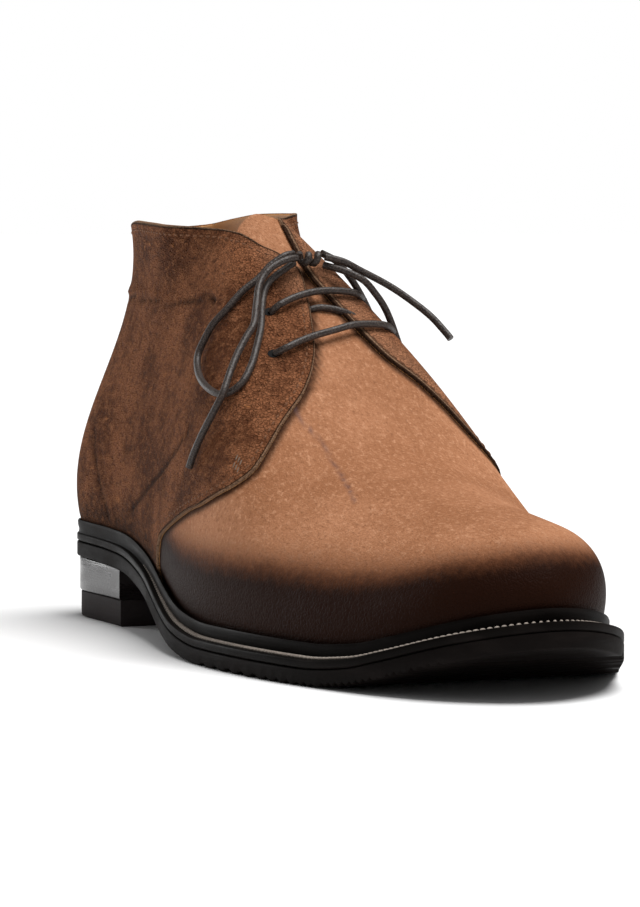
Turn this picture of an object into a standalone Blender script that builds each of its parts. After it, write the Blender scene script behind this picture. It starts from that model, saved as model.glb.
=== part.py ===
# A right-foot chukka boot standing on its sole: X runs from heel to toe, +Y is the medial side, Z is up.

import math

import bmesh
import bpy
import numpy as np
from mathutils import Matrix, Vector

SOLE_LENGTH = 0.3087
BALL_WIDTH = 0.1065
COLLAR_HEIGHT = 0.134
HEEL_HEIGHT = 0.0198
HEEL_LENGTH = 0.0590
LIFT_THICKNESS = 0.0085
OUTSOLE_THICKNESS = 0.0048
WELT_THICKNESS = 0.0026
WELT_REACH = 0.0074
TOE_SPRING = 0.0150
WALL = 0.0018
QUARTER_THICKNESS = 0.0011
TONGUE_THICKNESS = 0.0012
INSOLE_THICKNESS = 0.0022
LIP_HEIGHT = 0.0042
LIP_THICKNESS = 0.0022
WELT_UNDERLAP = 0.0042
HEEL_TAPER = 0.0009
HEEL_STEP = 0.0005
EYELET_DIAMETER = 0.0034
LACE_DIAMETER = 0.0024
KNOT_LENGTH = 0.0085
KNOT_WIDTH = 0.0052
LAYER_GAP = 0.0002
FIT_GAP = 0.0003
TONGUE_SINK = 0.00015

# Half widths of the sole on each side and its welt margin, from the back of the heel to the tip of the toe.
SOLE_COLUMNS = ("along", "lateral", "medial", "welt")
SOLE_ROWS = [
    (0.0000, 0.000, 0.000, 0.450),
    (0.0264, 0.235, 0.213, 0.450),
    (0.0915, 0.299, 0.300, 0.500),
    (0.2065, 0.316, 0.310, 0.570),
    (0.3489, 0.391, 0.287, 0.650),
    (0.4862, 0.482, 0.341, 0.780),
    (0.6225, 0.510, 0.462, 0.950),
    (0.7497, 0.475, 0.500, 1.000),
    (0.8473, 0.404, 0.380, 1.000),
    (0.9236, 0.312, 0.276, 1.000),
    (0.9765, 0.187, 0.142, 1.000),
    (1.0000, 0.026, -0.026, 1.000),
]

# Height of the outsole's underside: over the heel, down the arch, flat at the ball, then the toe spring.
FLOOR_COLUMNS = ("along", "heel", "spring")
FLOOR_ROWS = [
    (0.0000, 1.020, 0.000),
    (0.0915, 1.000, 0.000),
    (0.1933, 0.940, 0.000),
    (0.2950, 0.720, 0.000),
    (0.3916, 0.360, 0.000),
    (0.4882, 0.090, 0.000),
    (0.5696, 0.000, 0.000),
    (0.7730, 0.000, 0.000),
    (0.8330, 0.000, 0.100),
    (0.8748, 0.000, 0.290),
    (0.9460, 0.000, 0.700),
    (1.0000, 0.000, 1.000),
]

# The last above each sole row: where its top line lies, and how its side bulges, rises and closes toward it.
LAST_COLUMNS = ("along", "lateral", "medial", "height", "bulge", "rise", "lean", "spread", "drop")
LAST_ROWS = [
    (0.0366, 0.000, 0.000, 1.050, 0.132, 0.265, 0.0153, -0.080, 0.330),
    (0.0570, 0.119, 0.180, 1.050, 0.122, 0.300, 0.0183, -0.125, 0.348),
    (0.1261, 0.195, 0.240, 1.050, 0.112, 0.290, 0.0081, -0.152, 0.325),
    (0.2278, 0.235, 0.228, 1.050, 0.088, 0.276, 0.0000, -0.130, 0.304),
    (0.2950, 0.110, 0.110, 1.050, 0.080, 0.255, 0.0142, 0.046, 0.220),
    (0.3214, 0.012, -0.012, 1.012, 0.084, 0.233, 0.0224, 0.155, 0.080),
    (0.4638, -0.029, 0.029, 0.739, 0.090, 0.205, 0.0000, 0.340, 0.000),
    (0.6225, -0.018, 0.018, 0.463, 0.078, 0.150, 0.0000, 0.295, 0.000),
    (0.7547, -0.030, 0.030, 0.389, 0.068, 0.148, 0.0000, 0.235, 0.000),
    (0.8595, -0.050, 0.050, 0.354, 0.068, 0.146, 0.0000, 0.195, 0.000),
    (0.8595, -0.050, 0.050, 0.354, 0.073, 0.140, 0.0000, 0.193, 0.000),
    (0.8595, -0.050, 0.050, 0.354, 0.074, 0.142, 0.0000, 0.198, 0.000),
]
TOE_ROW = len(SOLE_ROWS) - 1
FRONT_ROW = 5
POLE_ROW = 9

# The collar's line seen from the side, on each quarter.
COLLAR_COLUMNS = ("along", "lateral", "medial")
COLLAR_ROWS = [
    (-0.1017, 0.938, 0.938),
    (0.0305, 0.948, 0.948),
    (0.0814, 0.965, 0.975),
    (0.1322, 0.972, 0.988),
    (0.2543, 0.961, 0.990),
    (0.3052, 0.953, 0.988),
    (0.3418, 0.940, 0.972),
    (0.3560, 0.929, 0.950),
    (0.3682, 0.912, 0.925),
    (0.3855, 0.889, 0.892),
    (0.4028, 0.855, 0.855),
    (0.4221, 0.760, 0.760),
]

# The quarters' front edges seen from above: the facings run beside the instep ridge, then part.
FACING_COLUMNS = ("along", "lateral", "medial")
FACING_ROWS = [
    (0.2034, 0.000, 0.024),
    (0.3458, 0.004, 0.024),
    (0.4048, 0.016, 0.032),
    (0.4323, 0.004, 0.062),
    (0.4689, -0.026, 0.106),
    (0.4984, -0.058, 0.150),
    (0.5350, -0.136, 0.270),
    (0.5635, -0.237, 0.320),
    (0.5818, -0.310, 0.336),
    (0.5900, -0.400, 0.350),
    (0.5961, -0.700, 0.380),
    (0.6022, -0.700, 0.440),
    (0.6123, -0.700, 0.700),
]

# The quarters' lower front edges seen from the side, from the facing's foot back to the sole.
SEAM_COLUMNS = ("along", "height")
SEAM_ROWS = [
    (0.3408, 0.060),
    (0.3438, 0.120),
    (0.3509, 0.181),
    (0.3713, 0.239),
    (0.4394, 0.292),
    (0.5320, 0.347),
    (0.5696, 0.375),
    (0.5839, 0.395),
    (0.5930, 0.430),
    (0.6001, 0.470),
    (0.6083, 0.530),
]

# The slot in the vamp for the tongue, seen from above, under the facings.
SLOT_COLUMNS = ("along", "lateral", "medial")
SLOT_ROWS = [
    (0.2441, -0.085, 0.125),
    (0.3560, -0.095, 0.135),
    (0.4069, -0.130, 0.170),
    (0.4476, -0.185, 0.225),
    (0.4781, -0.215, 0.250),
    (0.4903, -0.200, 0.235),
]

# The tongue's rounded top seen from the front.
TONGUE_COLUMNS = ("across", "height")
TONGUE_ROWS = [
    (-0.130, 0.860),
    (-0.110, 0.930),
    (-0.080, 0.960),
    (-0.040, 0.978),
    (0.010, 0.985),
    (0.080, 0.985),
    (0.125, 0.965),
    (0.150, 0.900),
]

# Eyelets seen from above, upper pair first.
EYELET_COLUMNS = ("along", "lateral", "medial_along", "medial")
EYELET_ROWS = [
    (0.4476, -0.128, 0.4231, 0.184),
    (0.4943, -0.174, 0.4557, 0.232),
]

LEATHER = {"color": (0.270, 0.120, 0.050), "roughness": 0.75, "metallic": 0.0}
TAN_LEATHER = {"color": (0.420, 0.210, 0.090), "roughness": 0.75, "metallic": 0.0}
EDGE_DRESSING = {"color": (0.020, 0.014, 0.012), "roughness": 0.40, "metallic": 0.0}
SOLE_RUBBER = {"color": (0.018, 0.015, 0.014), "roughness": 0.60, "metallic": 0.0}
LACE_WAX = {"color": (0.045, 0.030, 0.024), "roughness": 0.45, "metallic": 0.0}


def column(rows, names, name):
    return np.array([row[names.index(name)] for row in rows])


def monotone(knots, values, at):
    knots = np.asarray(knots, float)
    values = np.asarray(values, float)
    step = np.diff(knots)
    rise = np.diff(values) / step
    slope = np.zeros_like(values)
    slope[0], slope[-1] = rise[0], rise[-1]
    for k in range(1, len(knots) - 1):
        if rise[k - 1] * rise[k] > 0:
            near, far = 2 * step[k] + step[k - 1], step[k] + 2 * step[k - 1]
            slope[k] = (near + far) / (near / rise[k - 1] + far / rise[k])
    at = np.clip(np.asarray(at, float), knots[0], knots[-1])
    k = np.clip(np.searchsorted(knots, at, side="right") - 1, 0, len(step) - 1)
    t = (at - knots[k]) / step[k]
    return ((1 + 2 * t) * (1 - t) ** 2 * values[k] + t * (1 - t) ** 2 * step[k] * slope[k]
            + t * t * (3 - 2 * t) * values[k + 1] + t * t * (t - 1) * step[k] * slope[k + 1])


def ring_spline(values, at):
    count = len(values)
    one = np.eye(count)
    after = np.roll(values, -1)
    system = 4 * one + np.roll(one, 1, 1) + np.roll(one, -1, 1)
    bend = np.linalg.solve(system, 6 * (after - 2 * values + np.roll(values, 1)))
    at = np.mod(at, count)
    k = np.floor(at).astype(int) % count
    t = at - np.floor(at)
    n = (k + 1) % count
    return ((1 - t) * values[k] + t * values[n] + ((1 - t) ** 3 - (1 - t)) * bend[k] / 6
            + (t ** 3 - t) * bend[n] / 6)


def blend(value, low, high):
    t = np.clip((value - low) / (high - low), 0, 1)
    return t * t * (3 - 2 * t)


def sole_outline(u):
    along = column(SOLE_ROWS, SOLE_COLUMNS, "along") * SOLE_LENGTH
    lateral = -column(SOLE_ROWS, SOLE_COLUMNS, "lateral") * BALL_WIDTH
    medial = column(SOLE_ROWS, SOLE_COLUMNS, "medial") * BALL_WIDTH
    x = ring_spline(np.concatenate([along, along[-2:0:-1]]), u)
    y = ring_spline(np.concatenate([lateral, medial[-2:0:-1]]), u)
    return np.stack([x, y], -1)


def outward(u):
    step = 1e-3
    run = sole_outline(u + step) - sole_outline(u - step)
    run /= np.linalg.norm(run, axis=-1, keepdims=True)
    return np.stack([run[..., 1], -run[..., 0]], -1)


def floor_height(x):
    along = column(FLOOR_ROWS, FLOOR_COLUMNS, "along") * SOLE_LENGTH
    heel = column(FLOOR_ROWS, FLOOR_COLUMNS, "heel") * HEEL_HEIGHT
    spring = column(FLOOR_ROWS, FLOOR_COLUMNS, "spring") * TOE_SPRING
    return monotone(along, heel + spring, x)


def welt_top(x):
    return floor_height(x) + OUTSOLE_THICKNESS + LAYER_GAP + WELT_THICKNESS


def welt_margin(u):
    rows = np.arange(TOE_ROW + 1)
    return monotone(rows, column(SOLE_ROWS, SOLE_COLUMNS, "welt") * WELT_REACH, np.abs(u))


def inset_point(u, inset):
    return sole_outline(u) - outward(u) * np.asarray(inset)[..., None]


# Values of the last's rows around the shoe, level where the two sides meet at the heel and at the toe.
def mirrored_rows(values, u):
    rows = np.arange(TOE_ROW + 2)
    values = np.concatenate([values, values[-2:-1]])
    knots = np.concatenate([-rows[:0:-1], rows])
    return monotone(knots, np.concatenate([values[:0:-1], values]), u)


def last_column(name, size, u):
    return mirrored_rows(column(LAST_ROWS, LAST_COLUMNS, name) * size, u)


def cone_top(u):
    lateral = -column(LAST_ROWS, LAST_COLUMNS, "lateral") * BALL_WIDTH
    medial = column(LAST_ROWS, LAST_COLUMNS, "medial") * BALL_WIDTH
    rows = np.arange(TOE_ROW + 1)
    opening = np.arange(-FRONT_ROW, FRONT_ROW + 1)
    sides = np.concatenate([medial[FRONT_ROW:0:-1], lateral[:FRONT_ROW + 1]])
    around = monotone(opening, sides, u)
    ridge = monotone(rows[FRONT_ROW:], medial[FRONT_ROW:], np.abs(u))
    x = last_column("along", SOLE_LENGTH, u)
    z = last_column("height", COLLAR_HEIGHT, u)
    return np.stack([x, np.where(np.abs(u) < FRONT_ROW, around, ridge), z], -1)


def last_surface(u, s):
    u = np.asarray(u, float)
    foot = inset_point(u, welt_margin(u))
    foot = np.column_stack([foot, welt_top(foot[:, 0]) + LAYER_GAP])
    top = cone_top(u)
    out = outward(u)
    bulge = last_column("bulge", BALL_WIDTH, u)
    rise = last_column("rise", COLLAR_HEIGHT, u)
    lean = last_column("lean", SOLE_LENGTH, u)
    spread = last_column("spread", BALL_WIDTH, u)
    drop = last_column("drop", COLLAR_HEIGHT, u)
    low = foot + np.column_stack([out * bulge[:, None], rise])
    away = foot[:, :2] - top[:, :2]
    away /= np.maximum(np.linalg.norm(away, axis=1, keepdims=True), 1e-9)
    square = np.column_stack([0 * u, np.where(u > 0, -1.0, 1.0)])
    fan = blend(np.abs(u), POLE_ROW - 1, POLE_ROW)[:, None]
    ridge = blend(np.abs(u), FRONT_ROW - 1, FRONT_ROW)[:, None]
    side = out * (1 - ridge) + (square * (1 - fan) + away * fan) * ridge
    side /= np.linalg.norm(side, axis=1, keepdims=True)
    high = top + np.column_stack([side * spread[:, None], -drop])
    high[:, 0] += lean
    s = np.asarray(s, float)[None, :, None]
    foot, low, high, top = (p[:, None, :] for p in (foot, low, high, top))
    return (1 - s) ** 3 * foot + 3 * s * (1 - s) ** 2 * low + 3 * s * s * (1 - s) * high + s ** 3 * top


def unit(vectors):
    return vectors / np.maximum(np.linalg.norm(vectors, axis=-1, keepdims=True), 1e-15)


def last_normals(u, s):
    step = 1e-3
    s = np.clip(s, step, 1 - 20 * step)
    across = unit(last_surface(u + step, s) - last_surface(u - step, s))
    upward = unit(last_surface(u, s + step) - last_surface(u, s - step))
    return unit(np.cross(across, upward))


# Half-turns of the mesh around the last, and its levels from the feather line up to the top line.
HALF_STATIONS = 44
LEVELS = 12
SOLE_STATIONS = 44
LINE_SAMPLES = 22
LAST_BASE_DROP = 0.004
SMOOTH_ANGLE = 35
CORD_NAMES = ("lace_knot", "lace_loop", "lace_end")
SKIVED_EDGE = 0.00015
SKIVE_SHARE = 0.15

# The lace's routes in the shoe's own frame before it is centred, from the knot outward.
KNOT_CENTER = (0.1274, 0.0037, 0.1184)
LATERAL_LOOP = [
    (0.1262, -0.0010, 0.1200), (0.1280, -0.0046, 0.1194), (0.1282, -0.0094, 0.1165),
    (0.1292, -0.0135, 0.1128), (0.1295, -0.0195, 0.1084), (0.1300, -0.0248, 0.1031),
    (0.1290, -0.0288, 0.0987), (0.1281, -0.0313, 0.0940), (0.1280, -0.0334, 0.0893),
    (0.1322, -0.0353, 0.0854), (0.1397, -0.0371, 0.0820), (0.1482, -0.0377, 0.0794),
    (0.1540, -0.0368, 0.0784), (0.1572, -0.0342, 0.0796), (0.1575, -0.0308, 0.0826),
    (0.1541, -0.0267, 0.0874), (0.1495, -0.0231, 0.0925), (0.1443, -0.0196, 0.0977),
    (0.1388, -0.0169, 0.1029), (0.1339, -0.0142, 0.1075), (0.1311, -0.0117, 0.1107),
    (0.1300, -0.0086, 0.1132), (0.1284, -0.0046, 0.1154), (0.1268, -0.0010, 0.1172),
]
LATERAL_END = [
    (0.1292, -0.0012, 0.1187), (0.1310, -0.0054, 0.1182), (0.1324, -0.0114, 0.1155),
    (0.1347, -0.0158, 0.1110), (0.1408, -0.0196, 0.1043), (0.1462, -0.0227, 0.0991),
    (0.1486, -0.0262, 0.0952), (0.1514, -0.0301, 0.0906), (0.1550, -0.0340, 0.0855),
    (0.1594, -0.0383, 0.0791), (0.1590, -0.0406, 0.0745), (0.1556, -0.0432, 0.0672),
    (0.1529, -0.0449, 0.0612), (0.1511, -0.0459, 0.0564),
]
MEDIAL_LOOP = [
    (0.1279, 0.0086, 0.1165), (0.1328, 0.0137, 0.1146), (0.1352, 0.0188, 0.1118),
    (0.1353, 0.0229, 0.1075), (0.1356, 0.0257, 0.1035), (0.1360, 0.0278, 0.0988),
    (0.1372, 0.0303, 0.0910), (0.1390, 0.0333, 0.0830), (0.1388, 0.0350, 0.0765),
    (0.1346, 0.0352, 0.0732), (0.1298, 0.0338, 0.0758), (0.1268, 0.0315, 0.0830),
    (0.1258, 0.0292, 0.0910), (0.1252, 0.0266, 0.0990), (0.1248, 0.0232, 0.1062),
    (0.1248, 0.0190, 0.1125), (0.1254, 0.0140, 0.1176), (0.1260, 0.0086, 0.1202),
]
MEDIAL_END = [
    (0.1291, 0.0085, 0.1190), (0.1304, 0.0140, 0.1176), (0.1308, 0.0195, 0.1149),
    (0.1322, 0.0280, 0.1105), (0.1351, 0.0336, 0.1064), (0.1401, 0.0390, 0.1010),
    (0.1450, 0.0420, 0.0959), (0.1467, 0.0430, 0.0939),
]


def clear_scene():
    for item in list(bpy.data.objects):
        bpy.data.objects.remove(item, do_unlink=True)


def add_material(name, look):
    material = bpy.data.materials.new(name)
    material.use_nodes = True
    shader = material.node_tree.nodes["Principled BSDF"]
    shader.inputs["Base Color"].default_value = (*look["color"], 1.0)
    shader.inputs["Roughness"].default_value = look["roughness"]
    shader.inputs["Metallic"].default_value = look["metallic"]
    return material


def add_object(name, data, material=None):
    item = bpy.data.objects.new(name, data)
    bpy.context.collection.objects.link(item)
    if material:
        data.materials.append(material)
    return item


def add_mesh(name, vertices, faces, material=None):
    mesh = bpy.data.meshes.new(name)
    mesh.from_pydata([tuple(v) for v in vertices], [], faces)
    shape = bmesh.new()
    shape.from_mesh(mesh)
    bmesh.ops.recalc_face_normals(shape, faces=shape.faces)
    if shape.calc_volume(signed=True) < 0:
        bmesh.ops.reverse_faces(shape, faces=shape.faces)
    bmesh.ops.triangulate(shape, faces=[face for face in shape.faces if len(face.verts) == 4])
    shape.to_mesh(mesh)
    shape.free()
    return add_object(name, mesh, material)


def make_cutter(item):
    item.hide_render = True
    item.display_type = "WIRE"
    return item


def add_boolean(target, operation, tool):
    step = target.modifiers.new(tool.name, "BOOLEAN")
    step.operation = operation
    step.solver = "EXACT"
    step.object = tool


def smooth_shading(item, angle):
    item.data.shade_smooth()
    item.data.set_sharp_from_angle(angle=math.radians(angle))


def distinct(face):
    kept = []
    for corner in face:
        if corner not in kept:
            kept.append(corner)
    return kept


# A closed form over the whole last: its sides stand off the last's surface, and the ridge closes on itself.
def last_form(name, standoff, base_drop=0.0, material=None):
    u = np.linspace(-TOE_ROW, TOE_ROW, 2 * HALF_STATIONS + 1)
    s = np.linspace(0, 1, LEVELS)
    standoff = np.broadcast_to(standoff, s.shape)
    count = 2 * HALF_STATIONS
    ridge = np.abs(u) >= FRONT_ROW - 1e-9
    pole = np.abs(u) >= POLE_ROW - 1e-9
    normals = last_normals(u, s)
    normals[pole, -2:] = unit(normals[pole, -2:].mean(0))
    points = last_surface(u, s) + normals * standoff[None, :, None]
    points[:, 0, 2] -= base_drop
    points[:, -1] = np.where(ridge[:, None], (points[:, -1] + points[::-1, -1]) / 2, points[:, -1])
    points[pole, -1] = points[pole, -1].mean(0)

    def corner(i, j):
        if j == LEVELS - 1 and pole[i]:
            return (0, j)
        if j == LEVELS - 1 and ridge[i]:
            i = min(i, count - i)
        return (i % count, j)

    faces = []
    for i in range(count):
        for j in range(LEVELS - 1):
            faces.append([corner(i, j), corner(i + 1, j), corner(i + 1, j + 1), corner(i, j + 1)])
    for k in range(HALF_STATIONS):
        low, high = HALF_STATIONS - k, HALF_STATIONS + k
        faces.append([corner(high, 0), corner(high + 1, 0), corner(low - 1, 0), corner(low, 0)])
        if u[high + 1] <= FRONT_ROW + 1e-9:
            top = LEVELS - 1
            faces.append([corner(high, top), corner(high + 1, top), corner(low - 1, top), corner(low, top)])
    faces = [distinct(face) for face in faces]
    faces = [face for face in faces if len(face) > 2]
    order = sorted({c for face in faces for c in face})
    index = {c: n for n, c in enumerate(order)}
    vertices = [points[i, j] for i, j in order]
    return add_mesh(name, vertices, [[index[c] for c in face] for face in faces], material)


# Rings stacked on the sole's outline, each an inset and a height at every point, closed across by strips.
def sole_plate(name, rings, material, reach=TOE_ROW):
    stations = max(4, round(SOLE_STATIONS * reach / TOE_ROW))
    u = np.linspace(-reach, reach, 2 * stations + 1)
    closed = reach == TOE_ROW
    layers = []
    for inset, height in rings:
        flat = inset_point(u, inset(u))
        layers.append(np.column_stack([flat, height(flat[:, 0])]))
    width = 2 * stations if closed else 2 * stations + 1
    vertices = [layer[i] for layer in layers for i in range(width)]

    def corner(layer, i):
        return layer * width + i % width

    faces = []
    for layer in range(len(layers) - 1):
        for i in range(width if closed else width - 1):
            faces.append([corner(layer, i), corner(layer, i + 1), corner(layer + 1, i + 1), corner(layer + 1, i)])
        if not closed:
            last = width - 1
            faces.append([corner(layer, last), corner(layer, 0), corner(layer + 1, 0), corner(layer + 1, last)])
    for layer in (0, len(layers) - 1):
        for k in range(stations):
            low, high = stations - k, stations + k
            strip = [corner(layer, high), corner(layer, high + 1), corner(layer, low - 1), corner(layer, low)]
            faces.append(distinct(strip))
    return add_mesh(name, vertices, faces, material)


def side_prism(name, outline, low, high):
    vertices = [(x, low, z) for x, z in outline] + [(x, high, z) for x, z in outline]
    return make_cutter(add_mesh(name, vertices, prism_faces(len(outline))))


def plan_prism(name, outline, low, high):
    vertices = [(x, y, low) for x, y in outline] + [(x, y, high) for x, y in outline]
    return make_cutter(add_mesh(name, vertices, prism_faces(len(outline))))


def front_prism(name, outline, low, high):
    vertices = [(low, y, z) for y, z in outline] + [(high, y, z) for y, z in outline]
    return make_cutter(add_mesh(name, vertices, prism_faces(len(outline))))


def prism_faces(count):
    sides = [[k, (k + 1) % count, count + (k + 1) % count, count + k] for k in range(count)]
    return sides + [list(range(count)), list(range(2 * count - 1, count - 1, -1))]


def sampled_line(rows, names, across, value, across_size, value_size):
    knots = column(rows, names, across) * across_size
    at = np.union1d(np.linspace(knots[0], knots[-1], LINE_SAMPLES), knots)
    return at, monotone(knots, column(rows, names, value) * value_size, at)


def collar_outline(side, lower):
    x, z = sampled_line(COLLAR_ROWS, COLLAR_COLUMNS, "along", side, SOLE_LENGTH, COLLAR_HEIGHT)
    return x, z - lower


# The space below the collar line on one side of the instep ridge, with all of the forefoot.
def below_collar(name, side, lower, low, high):
    x, z = collar_outline(side, lower)
    roof = 2 * COLLAR_HEIGHT
    floor = -COLLAR_HEIGHT
    end = 2 * SOLE_LENGTH
    outline = [(x[0], floor)] + list(zip(x, z)) + [(x[-1], roof), (end, roof), (end, floor)]
    return side_prism(name, outline, low, high)


# A quarter in side view: the collar line, then the space over the facing, and the seam back to the sole.
def quarter_side(name, side, low, high):
    x, z = collar_outline(side, 0.0)
    knots = column(SEAM_ROWS, SEAM_COLUMNS, "height") * COLLAR_HEIGHT
    seam_z = np.union1d(np.linspace(knots[0], knots[-1], LINE_SAMPLES), knots)
    seam_x = monotone(knots, column(SEAM_ROWS, SEAM_COLUMNS, "along") * SOLE_LENGTH, seam_z)
    roof = 2 * COLLAR_HEIGHT
    outline = [(x[0], -COLLAR_HEIGHT)] + list(zip(x, z)) + [(x[-1], roof), (seam_x[-1], roof)]
    outline += list(zip(seam_x, seam_z))[::-1] + [(seam_x[0], -COLLAR_HEIGHT)]
    return side_prism(name, outline, low, high)


def plan_strip(name, rows, names, shrink, low, high):
    x, lateral = sampled_line(rows, names, "along", "lateral", SOLE_LENGTH, BALL_WIDTH)
    medial = sampled_line(rows, names, "along", "medial", SOLE_LENGTH, BALL_WIDTH)[1]
    x[0] += shrink
    x[-1] -= shrink
    sides = list(zip(x, lateral + shrink)) + list(zip(x, medial - shrink))[::-1]
    return plan_prism(name, sides, low, high)


# The point of the last's surface above a place in plan, and its normal.
def surface_over(x, y):
    u = np.linspace(-TOE_ROW, TOE_ROW, 441)
    s = np.linspace(0.45, 0.995, 110)
    grid = last_surface(u, s)
    away = np.hypot(grid[..., 0] - x, grid[..., 1] - y)
    i, j = np.unravel_index(away.argmin(), away.shape)
    normal = last_normals(u[i:i + 1], s[j:j + 1])[0, 0]
    return grid[i, j], normal


def smooth_route(points, spacing):
    points = np.array(points)
    ends = np.vstack([2 * points[0] - points[1], points, 2 * points[-1] - points[-2]])
    fine = []
    for k in range(1, len(ends) - 2):
        before, start, stop, after = ends[k - 1:k + 3]
        for t in np.linspace(0, 1, 12, endpoint=False):
            fine.append(0.5 * (2 * start + (stop - before) * t
                               + (2 * before - 5 * start + 4 * stop - after) * t * t
                               + (3 * start - before - 3 * stop + after) * t ** 3))
    fine = np.array(fine + [points[-1]])
    run = np.concatenate([[0], np.cumsum(np.linalg.norm(np.diff(fine, axis=0), axis=1))])
    at = np.linspace(0, run[-1], max(3, round(run[-1] / spacing) + 1))
    return np.column_stack([np.interp(at, run, fine[:, axis]) for axis in range(3)])


def add_tube(name, points, diameter, material):
    curve = bpy.data.curves.new(name, "CURVE")
    curve.dimensions = "3D"
    curve.bevel_depth = diameter / 2
    curve.bevel_resolution = 2
    curve.use_fill_caps = True
    line = curve.splines.new("POLY")
    line.points.add(len(points) - 1)
    for point, place in zip(line.points, points):
        point.co = (*place, 1.0)
    return add_object(name, curve, material)


def constant(value):
    return lambda u: np.full(np.shape(u), float(value))


def build_sole(rubber, dressing, leather):
    bottom = floor_height
    outsole_top = lambda x: floor_height(x) + OUTSOLE_THICKNESS
    outsole = sole_plate("outsole", [(constant(0.0), bottom), (constant(0.0), outsole_top)], rubber)
    breast_row = breast_station()
    stack_top = lambda x: floor_height(x) - LAYER_GAP
    flat_lift = lambda x: np.full(np.shape(x), LIFT_THICKNESS + LAYER_GAP)
    stack = sole_plate("heel_stack", [(constant(HEEL_STEP + HEEL_TAPER), flat_lift),
                                      (constant(HEEL_STEP), stack_top)], dressing, breast_row)
    lift = sole_plate("top_lift", [(constant(HEEL_STEP + HEEL_TAPER), lambda x: np.zeros(np.shape(x))),
                                   (constant(HEEL_STEP + HEEL_TAPER), lambda x: np.full(np.shape(x), LIFT_THICKNESS))],
                      rubber, breast_row)
    core = lambda u: welt_margin(u) + WELT_UNDERLAP + FIT_GAP
    rim = lambda u: welt_margin(u) + WALL + FIT_GAP
    core_bottom = lambda x: floor_height(x) + OUTSOLE_THICKNESS + LAYER_GAP
    rest = lambda x: welt_top(x) + LAYER_GAP
    insole_top = lambda x: welt_top(x) + LAYER_GAP + INSOLE_THICKNESS
    insole = sole_plate("insole", [(core, core_bottom), (core, rest), (rim, rest), (rim, insole_top)], leather)
    return [outsole, stack, lift, insole]


# The row, between two rows of the sole table, at which the heel ends.
def breast_station():
    u = np.linspace(0, TOE_ROW, 2201)
    x = sole_outline(u)[:, 0]
    return float(u[np.searchsorted(x, HEEL_LENGTH)])


# The welt is a ring: a flat margin outside, a rounded lip against the upper, and a flange under the upper.
def build_welt(material):
    u = np.linspace(-TOE_ROW, TOE_ROW, 2 * SOLE_STATIONS + 1)[:-1]
    margin = welt_margin(u)
    lean = last_column("bulge", BALL_WIDTH, u) / last_column("rise", COLLAR_HEIGHT, u)
    inner = margin - FIT_GAP
    lip = [
        (inner - LIP_THICKNESS, 0.0),
        (inner - LIP_THICKNESS - lean * LIP_HEIGHT * 0.45, LIP_HEIGHT * 0.70),
        (inner - LIP_THICKNESS * 0.60 - lean * LIP_HEIGHT, LIP_HEIGHT),
        (inner - FIT_GAP - lean * LIP_HEIGHT - QUARTER_THICKNESS * 0.5, LIP_HEIGHT * 0.88),
        (inner - lean * LIP_HEIGHT * 0.4, LIP_HEIGHT * 0.35),
        (inner, 0.0),
    ]
    flange = margin + WELT_UNDERLAP
    section = [(0 * u, -WELT_THICKNESS), (0 * u, 0.0)] + lip + [(flange, 0.0), (flange, -WELT_THICKNESS)]
    rings = []
    for inset, rise in section:
        flat = inset_point(u, inset)
        rings.append(np.column_stack([flat, welt_top(flat[:, 0]) + rise]))
    count = len(u)
    vertices = [ring[i] for ring in rings for i in range(count)]
    faces = []
    for layer in range(len(rings)):
        above = (layer + 1) % len(rings)
        for i in range(count):
            j = (i + 1) % count
            faces.append([layer * count + i, layer * count + j, above * count + j, above * count + i])
    return add_mesh("welt", vertices, faces, material)


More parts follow.
